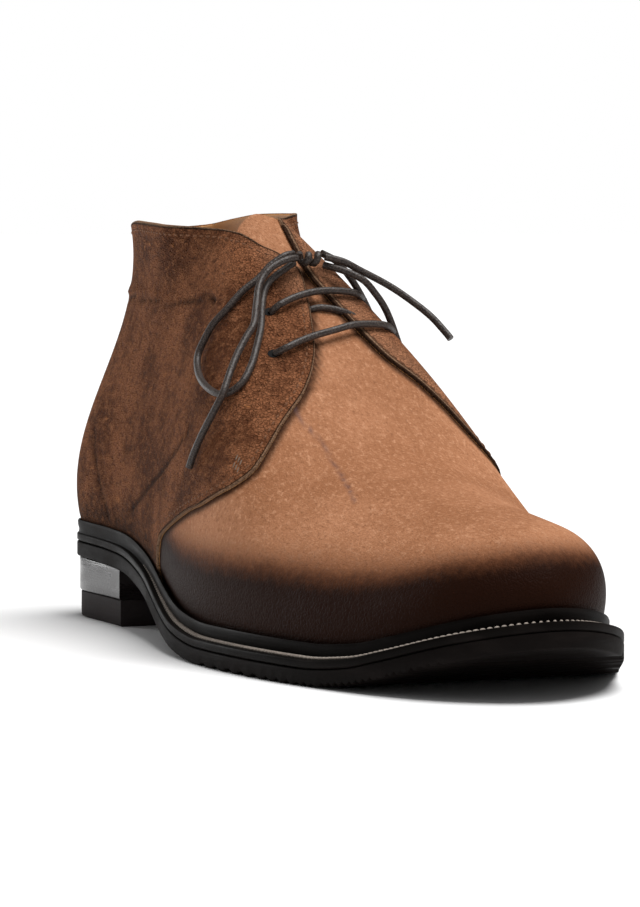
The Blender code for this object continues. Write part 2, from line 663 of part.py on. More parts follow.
def build_upper(leather, lining):
    s = np.linspace(0, 1, LEVELS)
    far = BALL_WIDTH
    split = (FACING_ROWS[0][1] + FACING_ROWS[0][2]) * BALL_WIDTH / 2
    upper = last_form("upper", 0.0, material=leather)
    inside = make_cutter(last_form("last_inside", -WALL, LAST_BASE_DROP))
    skived = SKIVED_EDGE + (QUARTER_THICKNESS - SKIVED_EDGE) * blend(s, 0.0, SKIVE_SHARE)
    quarters = make_cutter(last_form("quarters", skived, -SKIVED_EDGE * 2))
    vamp = below_collar("vamp_lateral", "lateral", QUARTER_THICKNESS, -far, split)
    add_boolean(vamp, "UNION", below_collar("vamp_medial", "medial", QUARTER_THICKNESS, split, far))
    sides = quarter_side("quarter_lateral", "lateral", -far, split)
    add_boolean(sides, "UNION", quarter_side("quarter_medial", "medial", split, far))
    parting = plan_strip("facing_gap", FACING_ROWS, FACING_COLUMNS, 0.0, 0.0, 2 * COLLAR_HEIGHT)
    add_boolean(quarters, "INTERSECT", sides)
    add_boolean(quarters, "DIFFERENCE", parting)
    slot = plan_strip("tongue_slot", SLOT_ROWS, SLOT_COLUMNS, 0.0, COLLAR_HEIGHT * 0.45, 2 * COLLAR_HEIGHT)
    throat = plan_strip("throat", SLOT_ROWS, SLOT_COLUMNS, -LAYER_GAP / 2, COLLAR_HEIGHT * 0.44, 2 * COLLAR_HEIGHT)
    under = make_cutter(last_form("under_facings", -TONGUE_SINK))
    add_boolean(under, "INTERSECT", slot)
    add_boolean(upper, "INTERSECT", vamp)
    add_boolean(upper, "DIFFERENCE", throat)
    add_boolean(upper, "UNION", quarters)
    add_boolean(upper, "DIFFERENCE", inside)
    add_boolean(upper, "DIFFERENCE", under)
    for number, row in enumerate(EYELET_ROWS):
        places = {
            "lateral": (row[0] * SOLE_LENGTH, row[1] * BALL_WIDTH),
            "medial": (row[2] * SOLE_LENGTH, row[3] * BALL_WIDTH),
        }
        for side, (x, y) in places.items():
            place, normal = surface_over(x, y)
            add_boolean(upper, "DIFFERENCE", add_punch(f"eyelet_{side}_{number + 1}", place, normal))
    tongue = last_form("tongue", -TONGUE_SINK - FIT_GAP, material=lining)
    hollow = make_cutter(last_form("tongue_inside", -TONGUE_SINK - FIT_GAP - TONGUE_THICKNESS, LAST_BASE_DROP))
    tongue_slot = plan_strip("tongue_plan", SLOT_ROWS, SLOT_COLUMNS, FIT_GAP, COLLAR_HEIGHT * 0.45, 2 * COLLAR_HEIGHT)
    y, z = sampled_line(TONGUE_ROWS, TONGUE_COLUMNS, "across", "height", BALL_WIDTH, COLLAR_HEIGHT)
    front = [(-far, 0.0), (-far, z[0])] + list(zip(y, z)) + [(far, z[-1]), (far, 0.0)]
    crown = front_prism("tongue_crown", front, 0.0, SOLE_LENGTH)
    add_boolean(tongue, "INTERSECT", tongue_slot)
    add_boolean(tongue, "INTERSECT", crown)
    add_boolean(tongue, "DIFFERENCE", hollow)
    return [upper, tongue]


def add_punch(name, place, normal):
    shape = bmesh.new()
    bmesh.ops.create_cone(shape, cap_ends=True, segments=12, radius1=EYELET_DIAMETER / 2,
                          radius2=EYELET_DIAMETER / 2, depth=8 * QUARTER_THICKNESS)
    mesh = bpy.data.meshes.new(name)
    shape.to_mesh(mesh)
    shape.free()
    punch = make_cutter(add_object(name, mesh))
    punch.location = place
    punch.rotation_mode = "QUATERNION"
    punch.rotation_quaternion = Vector(normal).to_track_quat("Z", "Y")
    return punch


def build_laces(material):
    spacing = 2.5 * LACE_DIAMETER
    standoff = QUARTER_THICKNESS + FIT_GAP + LACE_DIAMETER / 2
    pieces = []
    for number, row in enumerate(EYELET_ROWS):
        starts = [(row[0] * SOLE_LENGTH, row[1] * BALL_WIDTH), (row[2] * SOLE_LENGTH, row[3] * BALL_WIDTH)]
        route = []
        for t in np.linspace(0, 1, 7):
            x, y = (1 - t) * np.array(starts[0]) + t * np.array(starts[1])
            place, normal = surface_over(x, y)
            arch = standoff + LACE_DIAMETER * math.sin(math.pi * t)
            route.append(place + normal * arch)
        pieces.append(add_tube(f"lace_bar_{number + 1}", smooth_route(route, spacing), LACE_DIAMETER, material))
    routes = {"lace_loop_lateral": LATERAL_LOOP, "lace_end_lateral": LATERAL_END,
              "lace_loop_medial": MEDIAL_LOOP, "lace_end_medial": MEDIAL_END}
    for name, route in routes.items():
        pieces.append(add_tube(name, smooth_route(route, spacing), LACE_DIAMETER, material))
    shape = bmesh.new()
    bmesh.ops.create_icosphere(shape, subdivisions=2, radius=0.5)
    mesh = bpy.data.meshes.new("lace_knot")
    shape.to_mesh(mesh)
    shape.free()
    mesh.transform(Matrix.Diagonal((KNOT_WIDTH, KNOT_LENGTH, KNOT_WIDTH, 1.0)))
    knot = add_object("lace_knot", mesh, material)
    knot.location = KNOT_CENTER
    pieces.append(knot)
    return pieces


# The way from the built place to the table's: the solid pieces' box centred over the floor, its base at zero.
def centring(pieces):
    graph = bpy.context.evaluated_depsgraph_get()
    corners = []
    for item in pieces:
        if not item.name.startswith(CORD_NAMES):
            shown = item.evaluated_get(graph)
            corners += [vertex.co.copy() for vertex in shown.to_mesh().vertices]
            shown.to_mesh_clear()
    low = Vector([min(corner[axis] for corner in corners) for axis in range(3)])
    high = Vector([max(corner[axis] for corner in corners) for axis in range(3)])
    return Vector([-(low.x + high.x) / 2, -(low.y + high.y) / 2, -low.z])


def build_shoe():
    clear_scene()
    leather = add_material("brown_leather", LEATHER)
    tan = add_material("tan_leather", TAN_LEATHER)
    dark = add_material("edge_dressing", EDGE_DRESSING)
    rubber = add_material("sole_rubber", SOLE_RUBBER)
    wax = add_material("waxed_lace", LACE_WAX)
    pieces = build_sole(rubber, dark, tan)
    pieces.append(build_welt(dark))
    pieces += build_upper(leather, tan)
    pieces += build_laces(wax)
    shoe = bpy.data.objects.new("shoe", None)
    bpy.context.collection.objects.link(shoe)
    for item in list(bpy.context.collection.objects):
        if item != shoe:
            item.parent = shoe
    for item in pieces:
        if item.type == "MESH":
            smooth_shading(item, SMOOTH_ANGLE)
    bpy.context.view_layer.update()
    shoe.location = centring(pieces)
    bpy.context.view_layer.update()
    return shoe


build_shoe()
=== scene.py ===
# A right-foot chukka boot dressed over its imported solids: leather, welt, sole, lace, then light and camera.

import math

import bmesh
import bpy
import numpy as np
from mathutils import Matrix, Vector


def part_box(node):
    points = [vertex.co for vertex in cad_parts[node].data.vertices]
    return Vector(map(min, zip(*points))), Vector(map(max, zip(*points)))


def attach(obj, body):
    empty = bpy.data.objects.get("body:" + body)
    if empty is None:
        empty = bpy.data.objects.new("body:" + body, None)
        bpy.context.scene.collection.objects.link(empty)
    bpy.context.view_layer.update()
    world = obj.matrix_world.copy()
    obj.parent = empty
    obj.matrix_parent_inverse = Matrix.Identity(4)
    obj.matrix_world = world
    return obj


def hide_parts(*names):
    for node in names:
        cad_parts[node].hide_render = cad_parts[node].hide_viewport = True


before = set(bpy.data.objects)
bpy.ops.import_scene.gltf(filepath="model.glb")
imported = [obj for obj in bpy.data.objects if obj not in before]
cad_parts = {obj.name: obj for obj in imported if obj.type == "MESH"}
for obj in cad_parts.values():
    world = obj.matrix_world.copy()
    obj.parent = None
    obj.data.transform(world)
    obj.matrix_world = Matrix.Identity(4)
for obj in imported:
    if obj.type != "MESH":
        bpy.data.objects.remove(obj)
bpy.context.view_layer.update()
print("stage: frame loaded")

# Sizes in metres, the same as the solids'.
soleLength = 0.3087
ballWidth = 0.1065
collarHeight = 0.134
heelHeight = 0.0198
heelLength = 0.0590
liftThickness = 0.0085
outsoleThickness = 0.0048
weltThickness = 0.0026
weltReach = 0.0074
toeSpring = 0.0150
quarterThickness = 0.0011
lipHeight = 0.0042
lipThickness = 0.0022
weltUnderlap = 0.0042
heelTaper = 0.0009
heelStep = 0.0005
laceDiameter = 0.0024
layerGap = 0.0002
fitGap = 0.0003

# Rows run from the heel's back, 0, to the toe's tip, toeRow, as shares of the sole's length, the ball's width
# or the collar's height. A station is a place between rows, and the medial side's stations are negative.
soleColumns = ("along", "lateral", "medial", "welt")
soleRows = [
    (0.0000, 0.000, 0.000, 0.450),
    (0.0264, 0.235, 0.213, 0.450),
    (0.0915, 0.299, 0.300, 0.500),
    (0.2065, 0.316, 0.310, 0.570),
    (0.3489, 0.391, 0.287, 0.650),
    (0.4862, 0.482, 0.341, 0.780),
    (0.6225, 0.510, 0.462, 0.950),
    (0.7497, 0.475, 0.500, 1.000),
    (0.8473, 0.404, 0.380, 1.000),
    (0.9236, 0.312, 0.276, 1.000),
    (0.9765, 0.187, 0.142, 1.000),
    (1.0000, 0.026, -0.026, 1.000),
]
floorColumns = ("along", "heel", "spring")
floorRows = [
    (0.0000, 1.020, 0.000),
    (0.0915, 1.000, 0.000),
    (0.1933, 0.940, 0.000),
    (0.2950, 0.720, 0.000),
    (0.3916, 0.360, 0.000),
    (0.4882, 0.090, 0.000),
    (0.5696, 0.000, 0.000),
    (0.7730, 0.000, 0.000),
    (0.8330, 0.000, 0.100),
    (0.8748, 0.000, 0.290),
    (0.9460, 0.000, 0.700),
    (1.0000, 0.000, 1.000),
]
lastColumns = ("along", "lateral", "medial", "height", "bulge", "rise", "lean", "spread", "drop")
lastRows = [
    (0.0366, 0.000, 0.000, 1.050, 0.132, 0.265, 0.0153, -0.080, 0.330),
    (0.0570, 0.119, 0.180, 1.050, 0.122, 0.300, 0.0183, -0.125, 0.348),
    (0.1261, 0.195, 0.240, 1.050, 0.112, 0.290, 0.0081, -0.152, 0.325),
    (0.2278, 0.235, 0.228, 1.050, 0.088, 0.276, 0.0000, -0.130, 0.304),
    (0.2950, 0.110, 0.110, 1.050, 0.080, 0.255, 0.0142, 0.046, 0.220),
    (0.3214, 0.012, -0.012, 1.012, 0.084, 0.233, 0.0224, 0.155, 0.080),
    (0.4638, -0.029, 0.029, 0.739, 0.090, 0.205, 0.0000, 0.340, 0.000),
    (0.6225, -0.018, 0.018, 0.463, 0.078, 0.150, 0.0000, 0.295, 0.000),
    (0.7547, -0.030, 0.030, 0.389, 0.068, 0.148, 0.0000, 0.235, 0.000),
    (0.8595, -0.050, 0.050, 0.354, 0.068, 0.146, 0.0000, 0.195, 0.000),
    (0.8595, -0.050, 0.050, 0.354, 0.073, 0.140, 0.0000, 0.193, 0.000),
    (0.8595, -0.050, 0.050, 0.354, 0.074, 0.142, 0.0000, 0.198, 0.000),
]
toeRow = 11
frontRow = 5
poleRow = 9
seamSamples = 240


def column(rows, names, name):
    return np.array([row[names.index(name)] for row in rows])


def monotone(knots, values, at):
    # a smooth line through the values that never passes them
    knots = np.asarray(knots, float)
    values = np.asarray(values, float)
    step = np.diff(knots)
    rise = np.diff(values) / step
    slope = np.zeros_like(values)
    slope[0], slope[-1] = rise[0], rise[-1]
    for k in range(1, len(knots) - 1):
        if rise[k - 1] * rise[k] > 0:
            near, far = 2 * step[k] + step[k - 1], step[k] + 2 * step[k - 1]
            slope[k] = (near + far) / (near / rise[k - 1] + far / rise[k])
    at = np.clip(np.asarray(at, float), knots[0], knots[-1])
    k = np.clip(np.searchsorted(knots, at, side="right") - 1, 0, len(step) - 1)
    t = (at - knots[k]) / step[k]
    return ((1 + 2 * t) * (1 - t) ** 2 * values[k] + t * (1 - t) ** 2 * step[k] * slope[k]
            + t * t * (3 - 2 * t) * values[k + 1] + t * t * (t - 1) * step[k] * slope[k + 1])


def ringSpline(values, at):
    # a smooth closed line through evenly spaced values
    count = len(values)
    one = np.eye(count)
    after = np.roll(values, -1)
    system = 4 * one + np.roll(one, 1, 1) + np.roll(one, -1, 1)
    bend = np.linalg.solve(system, 6 * (after - 2 * values + np.roll(values, 1)))
    at = np.mod(at, count)
    k = np.floor(at).astype(int) % count
    t = at - np.floor(at)
    n = (k + 1) % count
    return ((1 - t) * values[k] + t * values[n] + ((1 - t) ** 3 - (1 - t)) * bend[k] / 6
            + (t ** 3 - t) * bend[n] / 6)


def blend(value, low, high):
    t = np.clip((value - low) / (high - low), 0, 1)
    return t * t * (3 - 2 * t)


def soleOutline(u):
    along = column(soleRows, soleColumns, "along") * soleLength
    lateral = -column(soleRows, soleColumns, "lateral") * ballWidth
    medial = column(soleRows, soleColumns, "medial") * ballWidth
    x = ringSpline(np.concatenate([along, along[-2:0:-1]]), u)
    y = ringSpline(np.concatenate([lateral, medial[-2:0:-1]]), u)
    return np.stack([x, y], -1)


def outward(u):
    step = 1e-3
    run = soleOutline(u + step) - soleOutline(u - step)
    run /= np.linalg.norm(run, axis=-1, keepdims=True)
    return np.stack([run[..., 1], -run[..., 0]], -1)


def floorHeight(x):
    along = column(floorRows, floorColumns, "along") * soleLength
    heel = column(floorRows, floorColumns, "heel") * heelHeight
    spring = column(floorRows, floorColumns, "spring") * toeSpring
    return monotone(along, heel + spring, x)


def weltTop(x):
    return floorHeight(x) + outsoleThickness + layerGap + weltThickness


def weltMargin(u):
    rows = np.arange(toeRow + 1)
    return monotone(rows, column(soleRows, soleColumns, "welt") * weltReach, np.abs(u))


def insetPoint(u, inset):
    return soleOutline(u) - outward(u) * np.asarray(inset)[..., None]


def mirroredRows(values, u):
    rows = np.arange(toeRow + 2)
    values = np.concatenate([values, values[-2:-1]])
    knots = np.concatenate([-rows[:0:-1], rows])
    return monotone(knots, np.concatenate([values[:0:-1], values]), u)


def lastColumn(name, size, u):
    return mirroredRows(column(lastRows, lastColumns, name) * size, u)


def coneTop(u):
    lateral = -column(lastRows, lastColumns, "lateral") * ballWidth
    medial = column(lastRows, lastColumns, "medial") * ballWidth
    rows = np.arange(toeRow + 1)
    opening = np.arange(-frontRow, frontRow + 1)
    sides = np.concatenate([medial[frontRow:0:-1], lateral[:frontRow + 1]])
    around = monotone(opening, sides, u)
    ridge = monotone(rows[frontRow:], medial[frontRow:], np.abs(u))
    x = lastColumn("along", soleLength, u)
    z = lastColumn("height", collarHeight, u)
    return np.stack([x, np.where(np.abs(u) < frontRow, around, ridge), z], -1)


def unit(vectors):
    return vectors / np.maximum(np.linalg.norm(vectors, axis=-1, keepdims=True), 1e-15)


def smoothRoute(points, spacing, steps=12):
    # a curve through the points, laid out again at about even spacing
    points = np.array(points)
    ends = np.vstack([2 * points[0] - points[1], points, 2 * points[-1] - points[-2]])
    fine = []
    for k in range(1, len(ends) - 2):
        before, start, stop, after = ends[k - 1:k + 3]
        for t in np.linspace(0, 1, steps, endpoint=False):
            fine.append(0.5 * (2 * start + (stop - before) * t
                               + (2 * before - 5 * start + 4 * stop - after) * t * t
                               + (3 * start - before - 3 * stop + after) * t ** 3))
    fine = np.array(fine + [points[-1]])
    run = np.concatenate([[0], np.cumsum(np.linalg.norm(np.diff(fine, axis=0), axis=1))])
    at = np.linspace(0, run[-1], max(3, round(run[-1] / spacing) + 1))
    return np.column_stack([np.interp(at, run, fine[:, axis]) for axis in range(3)])


knotCenter = (0.1274, 0.0037, 0.1184)
lateralLoop = [
    (0.1262, -0.0010, 0.1200), (0.1280, -0.0046, 0.1194), (0.1282, -0.0094, 0.1165),
    (0.1292, -0.0135, 0.1128), (0.1295, -0.0195, 0.1084), (0.1300, -0.0248, 0.1031),
    (0.1290, -0.0288, 0.0987), (0.1281, -0.0313, 0.0940), (0.1280, -0.0334, 0.0893),
    (0.1322, -0.0353, 0.0854), (0.1397, -0.0371, 0.0820), (0.1482, -0.0377, 0.0794),
    (0.1540, -0.0368, 0.0784), (0.1572, -0.0342, 0.0796), (0.1575, -0.0308, 0.0826),
    (0.1541, -0.0267, 0.0874), (0.1495, -0.0231, 0.0925), (0.1443, -0.0196, 0.0977),
    (0.1388, -0.0169, 0.1029), (0.1339, -0.0142, 0.1075), (0.1311, -0.0117, 0.1107),
    (0.1300, -0.0086, 0.1132), (0.1284, -0.0046, 0.1154), (0.1268, -0.0010, 0.1172),
]
lateralEnd = [
    (0.1292, -0.0012, 0.1187), (0.1310, -0.0054, 0.1182), (0.1324, -0.0114, 0.1155),
    (0.1347, -0.0158, 0.1110), (0.1408, -0.0196, 0.1043), (0.1462, -0.0227, 0.0991),
    (0.1486, -0.0262, 0.0952), (0.1514, -0.0301, 0.0906), (0.1550, -0.0340, 0.0855),
    (0.1594, -0.0383, 0.0791), (0.1590, -0.0406, 0.0745), (0.1556, -0.0432, 0.0672),
    (0.1529, -0.0449, 0.0612), (0.1511, -0.0459, 0.0564),
]
medialLoop = [
    (0.1279, 0.0086, 0.1165), (0.1328, 0.0137, 0.1146), (0.1352, 0.0188, 0.1118),
    (0.1353, 0.0229, 0.1075), (0.1356, 0.0257, 0.1035), (0.1360, 0.0278, 0.0988),
    (0.1372, 0.0303, 0.0910), (0.1390, 0.0333, 0.0830), (0.1388, 0.0350, 0.0765),
    (0.1346, 0.0352, 0.0732), (0.1298, 0.0338, 0.0758), (0.1268, 0.0315, 0.0830),
    (0.1258, 0.0292, 0.0910), (0.1252, 0.0266, 0.0990), (0.1248, 0.0232, 0.1062),
    (0.1248, 0.0190, 0.1125), (0.1254, 0.0140, 0.1176), (0.1260, 0.0086, 0.1202),
]
medialEnd = [
    (0.1291, 0.0085, 0.1190), (0.1304, 0.0140, 0.1176), (0.1308, 0.0195, 0.1149),
    (0.1322, 0.0280, 0.1105), (0.1351, 0.0336, 0.1064), (0.1401, 0.0390, 0.1010),
    (0.1450, 0.0420, 0.0959), (0.1467, 0.0430, 0.0939),
]


def lastPoint(u, s):
    # a point of the last for each pair of station and share of the way from the welt to the top line:
    # a curve with four handles, which are the foot, the side's bulge, the shoulder and the top
    u, s = np.broadcast_arrays(np.asarray(u, float), np.asarray(s, float))
    flat = u.ravel()
    foot = insetPoint(flat, weltMargin(flat))
    foot = np.column_stack([foot, weltTop(foot[:, 0]) + layerGap])
    top = coneTop(flat)
    out = outward(flat)
    bulge = lastColumn("bulge", ballWidth, flat)
    rise = lastColumn("rise", collarHeight, flat)
    lean = lastColumn("lean", soleLength, flat)
    spread = lastColumn("spread", ballWidth, flat)
    drop = lastColumn("drop", collarHeight, flat)
    low = foot + np.column_stack([out * bulge[:, None], rise])
    away = foot[:, :2] - top[:, :2]
    away /= np.maximum(np.linalg.norm(away, axis=1, keepdims=True), 1e-9)
    square = np.column_stack([0 * flat, np.where(flat > 0, -1.0, 1.0)])
    fan = blend(np.abs(flat), poleRow - 1, poleRow)[:, None]
    ridge = blend(np.abs(flat), frontRow - 1, frontRow)[:, None]
    side = out * (1 - ridge) + (square * (1 - fan) + away * fan) * ridge
    side /= np.linalg.norm(side, axis=1, keepdims=True)
    high = top + np.column_stack([side * spread[:, None], -drop])
    high[:, 0] += lean
    t = s.ravel()[:, None]
    place = (1 - t) ** 3 * foot + 3 * t * (1 - t) ** 2 * low + 3 * t * t * (1 - t) * high + t ** 3 * top
    return place.reshape(u.shape + (3,))


def lastNormal(u, s):
    # the leather's outward side, read a little off both ends of the share so that both steps stay on the last
    step, topMargin = 1e-3, 0.02
    u, s = np.broadcast_arrays(np.asarray(u, float), np.asarray(s, float))
    s = np.clip(s, step, 1 - topMargin)
    across = unit(lastPoint(u + step, s) - lastPoint(u - step, s))
    upward = unit(lastPoint(u, s + step) - lastPoint(u, s - step))
    return unit(np.cross(across, upward))


# the CAD shoe is centred over the floor: this is where the heel's back and the middle line went
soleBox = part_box("outsole")
outlineTurn = np.linspace(-toeRow, toeRow, 8 * toeRow + 1)
outlineSide = soleOutline(outlineTurn)[:, 1]
homeShift = np.array([
    soleBox[0].x - soleOutline(np.array([0.0]))[0, 0],
    (soleBox[0].y + soleBox[1].y) / 2 - (outlineSide.min() + outlineSide.max()) / 2,
    0.0,
])


def placesOn(line):
    return lastPoint(line[:, 0], line[:, 1])


def normalsOn(line):
    return lastNormal(line[:, 0], line[:, 1])


def tracedLine(rows, count, spacing=0.004):
    # a smooth line through given (station, share) rows, evenly spaced along the leather
    rows = np.array(rows, float)
    fine = smoothRoute(np.column_stack([rows, np.zeros(len(rows))]), spacing)[:, :2]
    places = placesOn(fine)
    run = np.concatenate([[0], np.cumsum(np.linalg.norm(np.diff(places, axis=0), axis=1))])
    at = np.linspace(0, run[-1], count) if np.isscalar(count) else np.asarray(count) * run[-1]
    return np.column_stack([np.interp(at, run, fine[:, axis]) for axis in range(2)])


def edgeSpacing(count, fine, clearance=1.3):
    # parameters from 0 to 1 with a few close together at both ends, where an edge is rolled
    middle = np.linspace(0, 1, count)[1:-1]
    near = np.array(fine)
    margin = near[-1] * clearance
    middle = middle[(middle > margin) & (middle < 1 - margin)]
    return np.concatenate([[0], near, middle, 1 - near[::-1], [1]])


def nearestGap(places, line, batch=4000):
    # the distance from each place to a line of close points
    flat = places.reshape(-1, 3)
    gap = np.empty(len(flat))
    for start in range(0, len(flat), batch):
        part = flat[start:start + batch]
        gap[start:start + batch] = np.sqrt(((part[:, None] - line[None]) ** 2).sum(-1).min(1))
    return gap.reshape(places.shape[:-1])


def roundedEdge(gap, width):
    # from 0 at an edge to 1 at a width away from it, as a quarter circle
    return np.sqrt(np.clip(1 - (1 - np.clip(gap / width, 0, 1)) ** 2, 0, 1))


def linked(name, data):
    item = bpy.data.objects.new(name, data)
    bpy.context.collection.objects.link(item)
    return item


def finishMesh(name, mesh, material, weld=2e-6, angle=40):
    # weld the close points, turn every face outward, and shade smooth between the sharp edges
    shape = bmesh.new()
    shape.from_mesh(mesh)
    bmesh.ops.remove_doubles(shape, verts=shape.verts, dist=weld)
    bmesh.ops.dissolve_degenerate(shape, edges=shape.edges, dist=weld / 2)
    bmesh.ops.recalc_face_normals(shape, faces=shape.faces)
    if shape.calc_volume(signed=True) < 0:
        bmesh.ops.reverse_faces(shape, faces=shape.faces)
    shape.to_mesh(mesh)
    shape.free()
    mesh.shade_smooth()
    mesh.set_sharp_from_angle(angle=math.radians(angle))
    mesh.materials.append(material)
    return linked(name, mesh)


def shellPiece(name, outer, inner, material, marks=None, openEnd=False):
    # a closed sheet of leather between two grids of the same size
    rows, columns = outer.shape[:2]
    count = rows * columns
    vertices = np.concatenate([outer.reshape(-1, 3), inner.reshape(-1, 3)]) + homeShift
    index = np.arange(count).reshape(rows, columns)
    a, b, c, d = index[:-1, :-1], index[:-1, 1:], index[1:, 1:], index[1:, :-1]
    faces = np.stack([a, b, c, d], -1).reshape(-1, 4).tolist()
    faces += (np.stack([d, c, b, a], -1).reshape(-1, 4) + count).tolist()
    rims = [index[0], index[:, 0][::-1], index[:, -1]]
    if not openEnd:
        rims.append(index[-1][::-1])
    for rim in rims:
        for start, stop in zip(rim[:-1].tolist(), rim[1:].tolist()):
            faces.append([stop, start, start + count, stop + count])
    mesh = bpy.data.meshes.new(name)
    mesh.from_pydata(vertices.tolist(), [], faces)
    layers = {mark: np.tile(values.ravel(), 2) for mark, values in (marks or {}).items()}
    layers["inside"] = np.repeat([0.0, 1.0], count)
    for mark, values in layers.items():
        mesh.attributes.new(mark, "FLOAT", "POINT").data.foreach_set("value", values)
    return finishMesh(name, mesh, material)


class Wire:
    # a socket in a material's tree, with the arithmetic that its Math nodes do
    def __init__(self, finish, socket):
        self.finish = finish
        self.socket = socket

    def math(self, operation, first, second=0.0):
        return self.finish.node("ShaderNodeMath", {"operation": operation}, {0: first, 1: second})

    def __add__(self, other):
        return self.math("ADD", self, other)

    def __radd__(self, other):
        return self.math("ADD", other, self)

    def __sub__(self, other):
        return self.math("SUBTRACT", self, other)

    def __rsub__(self, other):
        return self.math("SUBTRACT", other, self)

    def __mul__(self, other):
        return self.math("MULTIPLY", self, other)

    def __rmul__(self, other):
        return self.math("MULTIPLY", other, self)


class Finish:
    # one material: its tree, and the few calls that grow it
    def __init__(self, name, **fixed):
        self.material = bpy.data.materials.new(name)
        self.material.use_nodes = True
        self.tree = self.material.node_tree
        self.shader = self.tree.nodes["Principled BSDF"]
        for socket, value in fixed.items():
            self.shader.inputs[socket.replace("_", " ")].default_value = value

    def node(self, kind, settings=None, values=None, output=0):
        made = self.tree.nodes.new(kind)
        for key, value in (settings or {}).items():
            setattr(made, key, value)
        for key, value in (values or {}).items():
            if isinstance(value, Wire):
                self.tree.links.new(value.socket, made.inputs[key])
            else:
                made.inputs[key].default_value = value
        return Wire(self, made.outputs[output])

    def mark(self, name):
        return self.node("ShaderNodeAttribute", {"attribute_name": name}, output="Fac")

    def place(self, stretch=(1, 1, 1), turn=(0, 0, 0)):
        here = self.node("ShaderNodeTexCoord", output="Object")
        return self.node("ShaderNodeMapping", None, {"Vector": here, "Rotation": turn, "Scale": stretch})

    def noise(self, scale, detail=3.0, stretch=(1, 1, 1), turn=(0, 0, 0), rough=0.5):
        return self.node("ShaderNodeTexNoise", None, {
            "Vector": self.place(stretch, turn), "Scale": scale, "Detail": detail, "Roughness": rough})

    def cells(self, scale, stretch=(1, 1, 1), feature="F1"):
        return self.node("ShaderNodeTexVoronoi", {"feature": feature}, {
            "Vector": self.place(stretch), "Scale": scale})

    def band(self, value, low, high, start=0.0, stop=1.0):
        return self.node("ShaderNodeMapRange", {"interpolation_type": "SMOOTHSTEP"}, {
            "Value": value, "From Min": low, "From Max": high, "To Min": start, "To Max": stop})

    def mix(self, factor, first, second):
        def full(color):
            return color if isinstance(color, Wire) else (*color, 1.0)
        return self.node("ShaderNodeMix", {"data_type": "RGBA"}, {
            0: factor, 6: full(first), 7: full(second)}, output=2)

    def layers(self, color, patterns, look):
        # one tone after another, each where its pattern lies past a limit
        for name, low, high, strength, tone in look["layers"]:
            color = self.mix(self.band(patterns[name], low, high) * strength, color, look[tone])
        return color

    def bump(self, height, strength, distance, under=None):
        values = {"Height": height, "Strength": strength, "Distance": distance}
        if under is not None:
            values["Normal"] = under
        return self.node("ShaderNodeBump", None, values)

    def wear(self, socket, wire):
        self.tree.links.new(wire.socket, self.shader.inputs[socket])


quarterLook = {
    "dark": (0.094, 0.034, 0.016),
    "mid": (0.310, 0.122, 0.056),
    "light": (0.400, 0.172, 0.084),
    "scratch": (0.480, 0.190, 0.070),
    "worn": (0.560, 0.270, 0.150),
    "darkEdgeAndShade": (0.012, 0.008, 0.006),
    "cut": (0.360, 0.215, 0.130),
    "lining": (0.560, 0.270, 0.105),
    "roughness": 0.60,
    # a pattern, the limits it is read between, a strength and a tone
    "layers": [
        ("mottle", 0.46, 0.70, 0.70, "light"), ("mottle", 0.47, 0.34, 0.80, "dark"),
        ("fleck", 0.54, 0.70, 0.40, "light"), ("fleck", 0.45, 0.32, 0.50, "dark"),
        ("grain", 0.16, 0.02, 0.40, "dark"),
    ],
    "pressing": 0.70,
    # limits on a distance in metres, then a strength
    "footShade": (0.024, 0.006, 0.70),
    "facingWear": (0.016, 0.004, 0.45),
    "edgeBand": (0.0028, 0.0016, 0.90),
    "facingLine": (0.0010, 0.0013, 0.0016, 0.0019, 0.75),
    "rawCut": (0.00075, 0.00045, 0.75),
}


def quarterLeather():
    look = quarterLook
    finish = Finish("quarterLeather", Specular_IOR_Level=0.06, IOR=1.2)
    cloud = finish.noise(46, 5, rough=0.65)
    mottle = finish.noise(330, 4, (1, 1, 1.5), rough=0.7)
    fleck = finish.noise(1200, 3, rough=0.6)
    grain = finish.cells(880, (1, 1, 1.3), "DISTANCE_TO_EDGE")
    color = finish.mix(finish.band(cloud, 0.34, 0.62), look["dark"], look["mid"])
    color = finish.layers(color, {"mottle": mottle, "fleck": fleck, "grain": grain}, look)
    streak = finish.noise(55, 2, (1, 1, 7), (0.3, 0.5, 0.2))
    thread = finish.noise(160, 2, (1, 6, 0.6), (0.9, 0.2, 0.7))
    scratch = finish.band(streak, 0.62, 0.72) * finish.band(thread, 0.58, 0.68)
    color = finish.mix(scratch * 0.7, color, look["scratch"])
    color = finish.mix(finish.mark("pressed") * look["pressing"], color, look["darkEdgeAndShade"])
    face = finish.mark("face")
    marked = (
        # footShade is painted shade: the quarters darken towards the welt in the dark edge tone
        ("footShade", finish.mark("lift") + mottle * 0.010, "darkEdgeAndShade"),
        ("facingWear", face, "worn"),
        ("edgeBand", finish.mark("band"), "darkEdgeAndShade"),
    )
    for name, wire, tone in marked:
        low, high, strength = look[name]
        color = finish.mix(finish.band(wire, low, high) * strength, color, look[tone])
    start, full, fading, gone, strength = look["facingLine"]
    line = finish.band(face, start, full) * finish.band(face, gone, fading)
    color = finish.mix(line * strength, color, look["cut"])
    low, high, strength = look["rawCut"]
    color = finish.mix(finish.band(finish.mark("cut"), low, high) * strength, color, look["cut"])
    color = finish.mix(finish.mark("inside"), color, look["lining"])
    finish.wear("Base Color", color)
    roughness = look["roughness"]
    finish.wear("Roughness", finish.band(mottle, 0.3, 0.8, roughness - 0.10, roughness + 0.12))
    fine = finish.bump(finish.band(grain, 0.0, 0.22), 0.80, 0.0006)
    finish.wear("Normal", finish.bump(mottle, 0.90, 0.0016, fine))
    return finish.material


